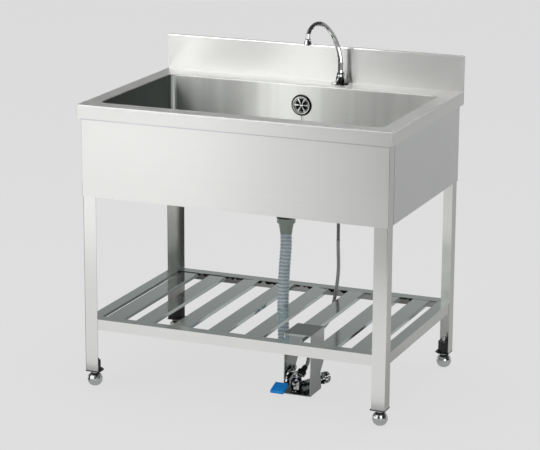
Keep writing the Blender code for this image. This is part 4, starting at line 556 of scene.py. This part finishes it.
def smooth_route(points, spacing):
    """Points about one spacing apart on a smooth curve through the route's own points."""
    known = [Vector(point) for point in points]
    known = [2 * known[0] - known[1]] + known + [2 * known[-1] - known[-2]]
    dense = []
    for before, start, end, after in zip(known, known[1:], known[2:], known[3:]):
        for k in range(ROUTE_STEPS):
            t = k / ROUTE_STEPS
            slope = (end - before) * t
            curve = (2 * before - 5 * start + 4 * end - after) * t * t
            twist = (3 * start - before - 3 * end + after) * t**3
            dense.append(0.5 * (2 * start + slope + curve + twist))
    dense.append(known[-2])
    total = sum((b - a).length for a, b in zip(dense, dense[1:]))
    count = max(2, round(total / spacing))
    made = [dense[0]]
    walked = 0.0
    wanted = 1
    for a, b in zip(dense, dense[1:]):
        length = (b - a).length
        while wanted < count and walked + length >= wanted * total / count:
            made.append(a.lerp(b, (wanted * total / count - walked) / length))
            wanted += 1
        walked += length
    return made + [dense[-1]]


def tube(name, points, radii, sides, finish, uv=False):
    """A tube along the points, closed at both ends, each ring with its own radius.

    With uv, its map has the share of the way round and the metres along it.
    """
    bm = bmesh.new()
    layer = bm.loops.layers.uv.new("along") if uv else None
    side = None
    rings = []
    stations = []
    walked = 0.0
    for k, point in enumerate(points):
        ahead = (points[min(k + 1, len(points) - 1)] - points[max(k - 1, 0)]).normalized()
        if side is None:
            side = ahead.cross(Vector(TUBE_ASIDE)).normalized()
        side = (side - side.dot(ahead) * ahead).normalized()
        up = ahead.cross(side)
        walked += (point - points[k - 1]).length if k else 0.0
        stations.append(walked)
        turns = [2 * math.pi * n / sides for n in range(sides)]
        spokes = [math.cos(a) * side + math.sin(a) * up for a in turns]
        rings.append([bm.verts.new(point + radii[k] * spoke) for spoke in spokes])
    for k, (first, second) in enumerate(zip(rings, rings[1:])):
        for n in range(sides):
            after = (n + 1) % sides
            face = bm.faces.new((first[n], first[after], second[after], second[n]))
            face.smooth = True
            if uv:
                spots = ((n, k), (n + 1, k), (n + 1, k + 1), (n, k + 1))
                for loop, (around, along) in zip(face.loops, spots):
                    loop[layer].uv = (around / sides, stations[along])
    bm.faces.new(rings[0][::-1])
    bm.faces.new(rings[-1])
    bmesh.ops.recalc_face_normals(bm, faces=bm.faces)
    mesh = bpy.data.meshes.new(name)
    bm.to_mesh(mesh)
    bm.free()
    made = bpy.data.objects.new(name, mesh)
    scene.collection.objects.link(made)
    mesh.materials.append(finish)
    return made


def ribbed_hose():
    """Corrugated drain hose: a whole number of rounded ribs near the real pitch, and an open end."""
    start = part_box("drain_hose")[1].z
    drop = DRAIN_HOSE_END - start
    bow = [(DRAIN_AT[0] + x, DRAIN_AT[1] + y, start + drop * share) for share, x, y in DRAIN_HOSE_BOW]
    ribs = len(smooth_route(bow, DRAIN_HOSE_PITCH / 2)) // 2
    path = smooth_route(bow, -drop / (ribs * RIB_STEPS))
    crest = DRAIN_HOSE_DIAMETER / 2
    valley = DRAIN_HOSE_VALLEY / 2
    radii = []
    for k in range(len(path)):
        wave = 0.5 - 0.5 * math.cos(2 * math.pi * k / RIB_STEPS)
        radii.append(valley + (crest - valley) * wave**RIB_SHAPE)
    hose = tube("ribbed_drain_hose", path, radii, DRAIN_HOSE_SIDES, ribbed_plastic, uv=True)
    bm = bmesh.new()
    bm.from_mesh(hose.data)
    mouth = max((f for f in bm.faces if len(f.verts) > 4), key=lambda f: -f.calc_center_median().z)
    bmesh.ops.inset_region(bm, faces=[mouth], thickness=crest * MOUTH_SHARE - DRAIN_HOSE_BORE / 2)
    pushed = bmesh.ops.extrude_discrete_faces(bm, faces=[mouth])["faces"]
    corners = list({v for f in pushed for v in f.verts})
    bmesh.ops.translate(bm, verts=corners, vec=(0, 0, MOUTH_DEPTH))
    bm.to_mesh(hose.data)
    bm.free()
    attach(hose, "unit")
    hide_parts("drain_hose")


def supply_hose():
    """Hose in a wire braid, from the pipe under the tap to the nut on the foot valve."""
    heading = Vector(INLET_HEADING).normalized()
    root = Vector(INLET_AT)
    end = root + heading * (INLET_LENGTH + INLET_NUT_LENGTH + INLET_CLEARANCE)
    before = root + heading * (INLET_LENGTH + INLET_NUT_LENGTH + SUPPLY_DIAMETER)
    start = Vector(SUPPLY_START)
    path = [start] + smooth_route(SUPPLY_ROUTE + (tuple(before),), SUPPLY_SPACING) + [end]
    radii = [SUPPLY_DIAMETER / 2] * len(path)
    hose = tube("braided_supply_hose", path, radii, SUPPLY_SIDES, wire_braid, uv=True)
    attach(hose, "unit")
    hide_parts("supply_hose")


def ball_chain():
    """Ball chain from the overflow's screw to the plug."""
    path = smooth_route(CHAIN_ROUTE, CHAIN_PITCH)
    bm = bmesh.new()
    for k, point in enumerate(path):
        share = CHAIN_END_BALL if k in (0, len(path) - 1) else CHAIN_BALL
        radius = CHAIN_DIAMETER / 2 * share
        bmesh.ops.create_icosphere(bm, subdivisions=2, radius=radius, matrix=Matrix.Translation(point))
    for face in bm.faces:
        face.smooth = True
    mesh = bpy.data.meshes.new("ball_chain")
    bm.to_mesh(mesh)
    bm.free()
    chain = bpy.data.objects.new("ball_chain", mesh)
    scene.collection.objects.link(chain)
    mesh.materials.append(chain_steel)
    wire = tube("chain_wire", path, [CHAIN_WIRE_RADIUS] * len(path), CHAIN_WIRE_SIDES, chain_steel)
    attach(chain, "unit")
    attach(wire, "unit")
    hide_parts("plug_chain")


ribbed_hose()
supply_hose()
ball_chain()


# Camera, floor and light

camera = bpy.data.objects.new("camera", bpy.data.cameras.new("camera"))
scene.collection.objects.link(camera)
azimuth = math.radians(CAMERA_AZIMUTH)
down = math.radians(CAMERA_DOWN)
level = math.cos(down)
look = Vector((-math.sin(azimuth) * level, math.cos(azimuth) * level, -math.sin(down)))
camera.matrix_world = (
    Matrix.Translation(CAMERA_PLACE)
    @ look.to_track_quat("-Z", "Y").to_matrix().to_4x4()
    @ Matrix.Rotation(math.radians(CAMERA_ROLL), 4, "Z")
)
camera.data.lens = FOCAL_PIXELS / PHOTO_WIDTH * SENSOR_WIDTH
scene.camera = camera
scene.view_settings.view_transform = "Standard"


def backdrop_rays(tree):
    """1 for the rays that see the background as it is: from the camera, metal and glass."""
    path = tree.nodes.new("ShaderNodeLightPath")
    total = path.outputs["Is Camera Ray"]
    for name in ("Is Glossy Ray", "Is Transmission Ray"):
        add = tree.nodes.new("ShaderNodeMath")
        add.operation = "MAXIMUM"
        tree.links.new(total, add.inputs[0])
        tree.links.new(path.outputs[name], add.inputs[1])
        total = add.outputs[0]
    return total


def make_floor():
    """Pale floor that takes the shadows."""
    bm = bmesh.new()
    bmesh.ops.create_grid(bm, x_segments=FLOOR_SQUARES, y_segments=FLOOR_SQUARES, size=FLOOR_REACH)
    mesh = bpy.data.meshes.new("floor")
    bm.to_mesh(mesh)
    bm.free()
    floor = bpy.data.objects.new("floor", mesh)
    scene.collection.objects.link(floor)
    material = bpy.data.materials.new("floor_paint")
    material.use_nodes = True
    tree = material.node_tree
    main = tree.nodes["Principled BSDF"]
    main.inputs["Base Color"].default_value = (BACKGROUND, BACKGROUND, BACKGROUND, 1.0)
    main.inputs["Roughness"].default_value = FLOOR_ROUGHNESS
    main.inputs["Specular IOR Level"].default_value = 0.0
    glow = tree.nodes.new("ShaderNodeEmission")
    glow.inputs["Color"].default_value = (BACKGROUND, BACKGROUND, BACKGROUND, 1.0)
    mix = tree.nodes.new("ShaderNodeMixShader")
    share = tree.nodes.new("ShaderNodeMath")
    share.operation = "MULTIPLY"
    share.inputs[1].default_value = FLOOR_GLOW
    tree.links.new(backdrop_rays(tree), share.inputs[0])
    tree.links.new(share.outputs[0], mix.inputs[0])
    tree.links.new(main.outputs[0], mix.inputs[1])
    tree.links.new(glow.outputs[0], mix.inputs[2])
    tree.links.new(mix.outputs[0], tree.nodes["Material Output"].inputs["Surface"])
    mesh.materials.append(material)


def make_world():
    """Soft light from all round, behind a backdrop of the floor's tone."""
    world = bpy.data.worlds.new("studio")
    scene.world = world
    world.use_nodes = True
    tree = world.node_tree
    room = tree.nodes["Background"]
    room.inputs["Color"].default_value = ROOM_COLOUR
    room.inputs["Strength"].default_value = ROOM_STRENGTH
    seen = tree.nodes.new("ShaderNodeBackground")
    seen.inputs["Color"].default_value = (BACKGROUND, BACKGROUND, BACKGROUND, 1.0)
    seen.inputs["Strength"].default_value = 1.0
    mix = tree.nodes.new("ShaderNodeMixShader")
    tree.links.new(backdrop_rays(tree), mix.inputs[0])
    tree.links.new(room.outputs[0], mix.inputs[1])
    tree.links.new(seen.outputs[0], mix.inputs[2])
    tree.links.new(mix.outputs[0], tree.nodes["World Output"].inputs["Surface"])


def make_lamp(name, place, target, wide, high, energy):
    """Soft lamp that metal doesn't show."""
    data = bpy.data.lights.new(name, "AREA")
    data.shape = "RECTANGLE"
    data.size, data.size_y = wide, high
    data.energy = energy
    lamp = bpy.data.objects.new(name, data)
    scene.collection.objects.link(lamp)
    heading = Vector(target) - Vector(place)
    lamp.matrix_world = Matrix.Translation(place) @ heading.to_track_quat("-Z", "Y").to_matrix().to_4x4()
    lamp.visible_glossy = False


def make_card(name, centre, across, up, wide, high, stops, along="X"):
    """Studio card that only shows in bright metal.

    across and up are its directions. Each of its stops is a place on it, in metres from its centre
    along its X or Y, and the level of its light there.
    """
    mesh = bpy.data.meshes.new(name)
    corners = [(x * wide / 2, y * high / 2, 0) for x, y in ((-1, -1), (1, -1), (1, 1), (-1, 1))]
    mesh.from_pydata(corners, [], [(0, 1, 2, 3)])
    card = bpy.data.objects.new(name, mesh)
    scene.collection.objects.link(card)
    turn = Matrix((across, up, Vector(across).cross(Vector(up)))).transposed()
    card.matrix_world = Matrix.Translation(centre) @ turn.to_4x4()
    material = bpy.data.materials.new(name)
    material.use_nodes = True
    tree = material.node_tree
    tree.nodes.remove(tree.nodes["Principled BSDF"])
    place = tree.nodes.new("ShaderNodeTexCoord")
    split = tree.nodes.new("ShaderNodeSeparateXYZ")
    share = tree.nodes.new("ShaderNodeMapRange")
    first = stops[0][0]
    last = stops[-1][0]
    share.inputs["From Min"].default_value = first
    share.inputs["From Max"].default_value = last
    ramp = tree.nodes.new("ShaderNodeValToRGB")
    ramp.color_ramp.interpolation = "EASE"
    while len(ramp.color_ramp.elements) < len(stops):
        ramp.color_ramp.elements.new(0.5)
    for element, (where, level) in zip(ramp.color_ramp.elements, stops):
        element.position = (where - first) / (last - first)
        element.color = (level, level, level, 1.0)
    glow = tree.nodes.new("ShaderNodeEmission")
    tree.links.new(place.outputs["Object"], split.inputs[0])
    tree.links.new(split.outputs[along], share.inputs["Value"])
    tree.links.new(share.outputs[0], ramp.inputs[0])
    tree.links.new(ramp.outputs[0], glow.inputs["Color"])
    tree.links.new(glow.outputs[0], tree.nodes["Material Output"].inputs["Surface"])
    mesh.materials.append(material)
    card.visible_camera = False
    card.visible_diffuse = False
    card.visible_shadow = False
    card.visible_transmission = False


make_floor()
make_world()
make_lamp("key", (-3.4, -3.6, 2.6), (0, 0, 0.6), 2.6, 2.6, 90.0)
make_lamp("fill", (3.4, -2.6, 1.8), (0, 0, 0.5), 2.0, 2.0, 30.0)
make_lamp("top", (0.0, 0.2, 3.6), (0, 0, 0.5), 2.4, 1.6, 50.0)

# What the steel and chrome reflect
X = (1, 0, 0)
Y = (0, 1, 0)
Z = (0, 0, 1)
make_card("front_card", (0.0, -1.6, 0.9), X, Z, 9.0, 1.79,
          ((-4.5, 1.0), (-0.68, 1.0), (-0.55, 0.84), (-0.30, 0.66), (0.0, 0.48), (0.3, 0.05),
           (1.3, 0.02), (1.45, 2.5), (1.8, 2.5), (1.9, 0.03), (4.5, 0.02)))
make_card("side_card", (2.9, 2.9, 0.004), X, Y, 5.8, 5.0, ((-2.9, 0.40), (2.9, 0.44)))
# Dark sheets on the floor under and in front of the unit: the floor's shadow, painted into what metal
# reflects.
make_card("under_shadow_card", (-0.275, 0.425, 0.003), X, Y, 0.75, 1.15, ((-0.375, 0.14), (0.375, 0.18)))
make_card("right_under_shadow_card", (0.5, 0.125, 0.003), X, Y, 0.8, 0.55,
          ((-0.4, 0.20), (0.0, 0.34), (0.4, 0.38)))
make_card("front_under_shadow_card", (0.1, -0.30, 0.003), X, Y, 1.5, 0.30, ((-0.75, 0.34), (0.75, 0.34)))
make_card("flag_card", (-0.66, -0.225, 0.29), (0.93, -0.37, 0), Z, 0.42, 0.58,
          ((-0.21, 0.02), (0.21, 0.02)))
make_card("rear_card", (0.0, 4.4, 3.2), X, Z, 14.0, 5.8,
          ((-2.9, 0.52), (-2.0, 0.36), (-1.2, 0.22), (0.0, 0.10), (2.9, 0.06)), "Y")
make_card("left_card", (-5.0, -1.2, 3.2), Y, Z, 11.0, 5.8, ((-5.5, 0.30), (5.5, 0.18)))
make_card("right_card", (5.2, -1.2, 3.2), Y, Z, 11.0, 5.8, ((-5.5, 0.02), (5.5, 0.04)))
make_card("room_card", (0.0, -6.9, 3.3), X, Z, 14.0, 5.8,
          ((-7.0, 0.40), (-2.0, 0.20), (0.0, 0.03), (7.0, 0.02)))
make_card("roof_card", (0.0, -1.2, 6.0), X, Y, 14.0, 12.0, ((-7.0, 0.06), (7.0, 0.04)))
make_card("top_card", (0.0, 0.2, 3.2), X, Y, 2.6, 0.4,
          ((-1.3, 3.5), (-1.1, 1.0), (-0.90, 1.0), (-0.76, 5.8), (1.3, 4.2)))
make_card("band_card", (0.0, -3.4, 3.0), X, Z, 9.0, 2.3,
          ((-4.5, 4.0), (-1.85, 4.0), (-1.65, 6.5), (-1.48, 6.5), (-1.34, 0.6), (-1.05, 0.1),
           (4.5, 0.02)))
make_card("edge_card", (-0.6, -0.85, 3.2), X, Y, 3.2, 0.5,
          ((-1.6, 2.6), (-0.5, 2.6), (-0.2, 0.8), (1.6, 0.8)))
# Glowing cards inside the basin, no studio lamps: they paint highlights into the reflections of its
# walls.
make_card("bowl_highlight_card", (0.372, -0.06, 0.69), Y, Z, 0.24, 0.16,
          ((-0.12, 3.2), (-0.04, 3.2), (-0.02, 0.1), (0.03, 0.1), (0.05, 3.2), (0.12, 3.2)))
make_card("inner_highlight_card", (0.0, -0.236, 0.665), X, Z, 0.74, 0.20,
          ((-0.37, 0.30), (-0.34, 0.60), (-0.28, 1.25), (-0.20, 1.15), (-0.10, 0.55), (0.05, 0.14),
           (0.37, 0.50)))
make_card("left_floor_card", (-3.7, -0.9, 0.006), X, Y, 2.0, 2.6, ((-1.0, 0.03), (1.0, 0.03)))
make_card("right_floor_card", (3.9, 1.3, 0.006), X, Y, 2.2, 1.5, ((-1.1, 0.03), (1.1, 0.03)))
make_card("key_card", (-2.2, -3.3, 2.2), X, Z, 0.5, 0.9, ((-0.25, 6.0), (0.25, 6.0)))
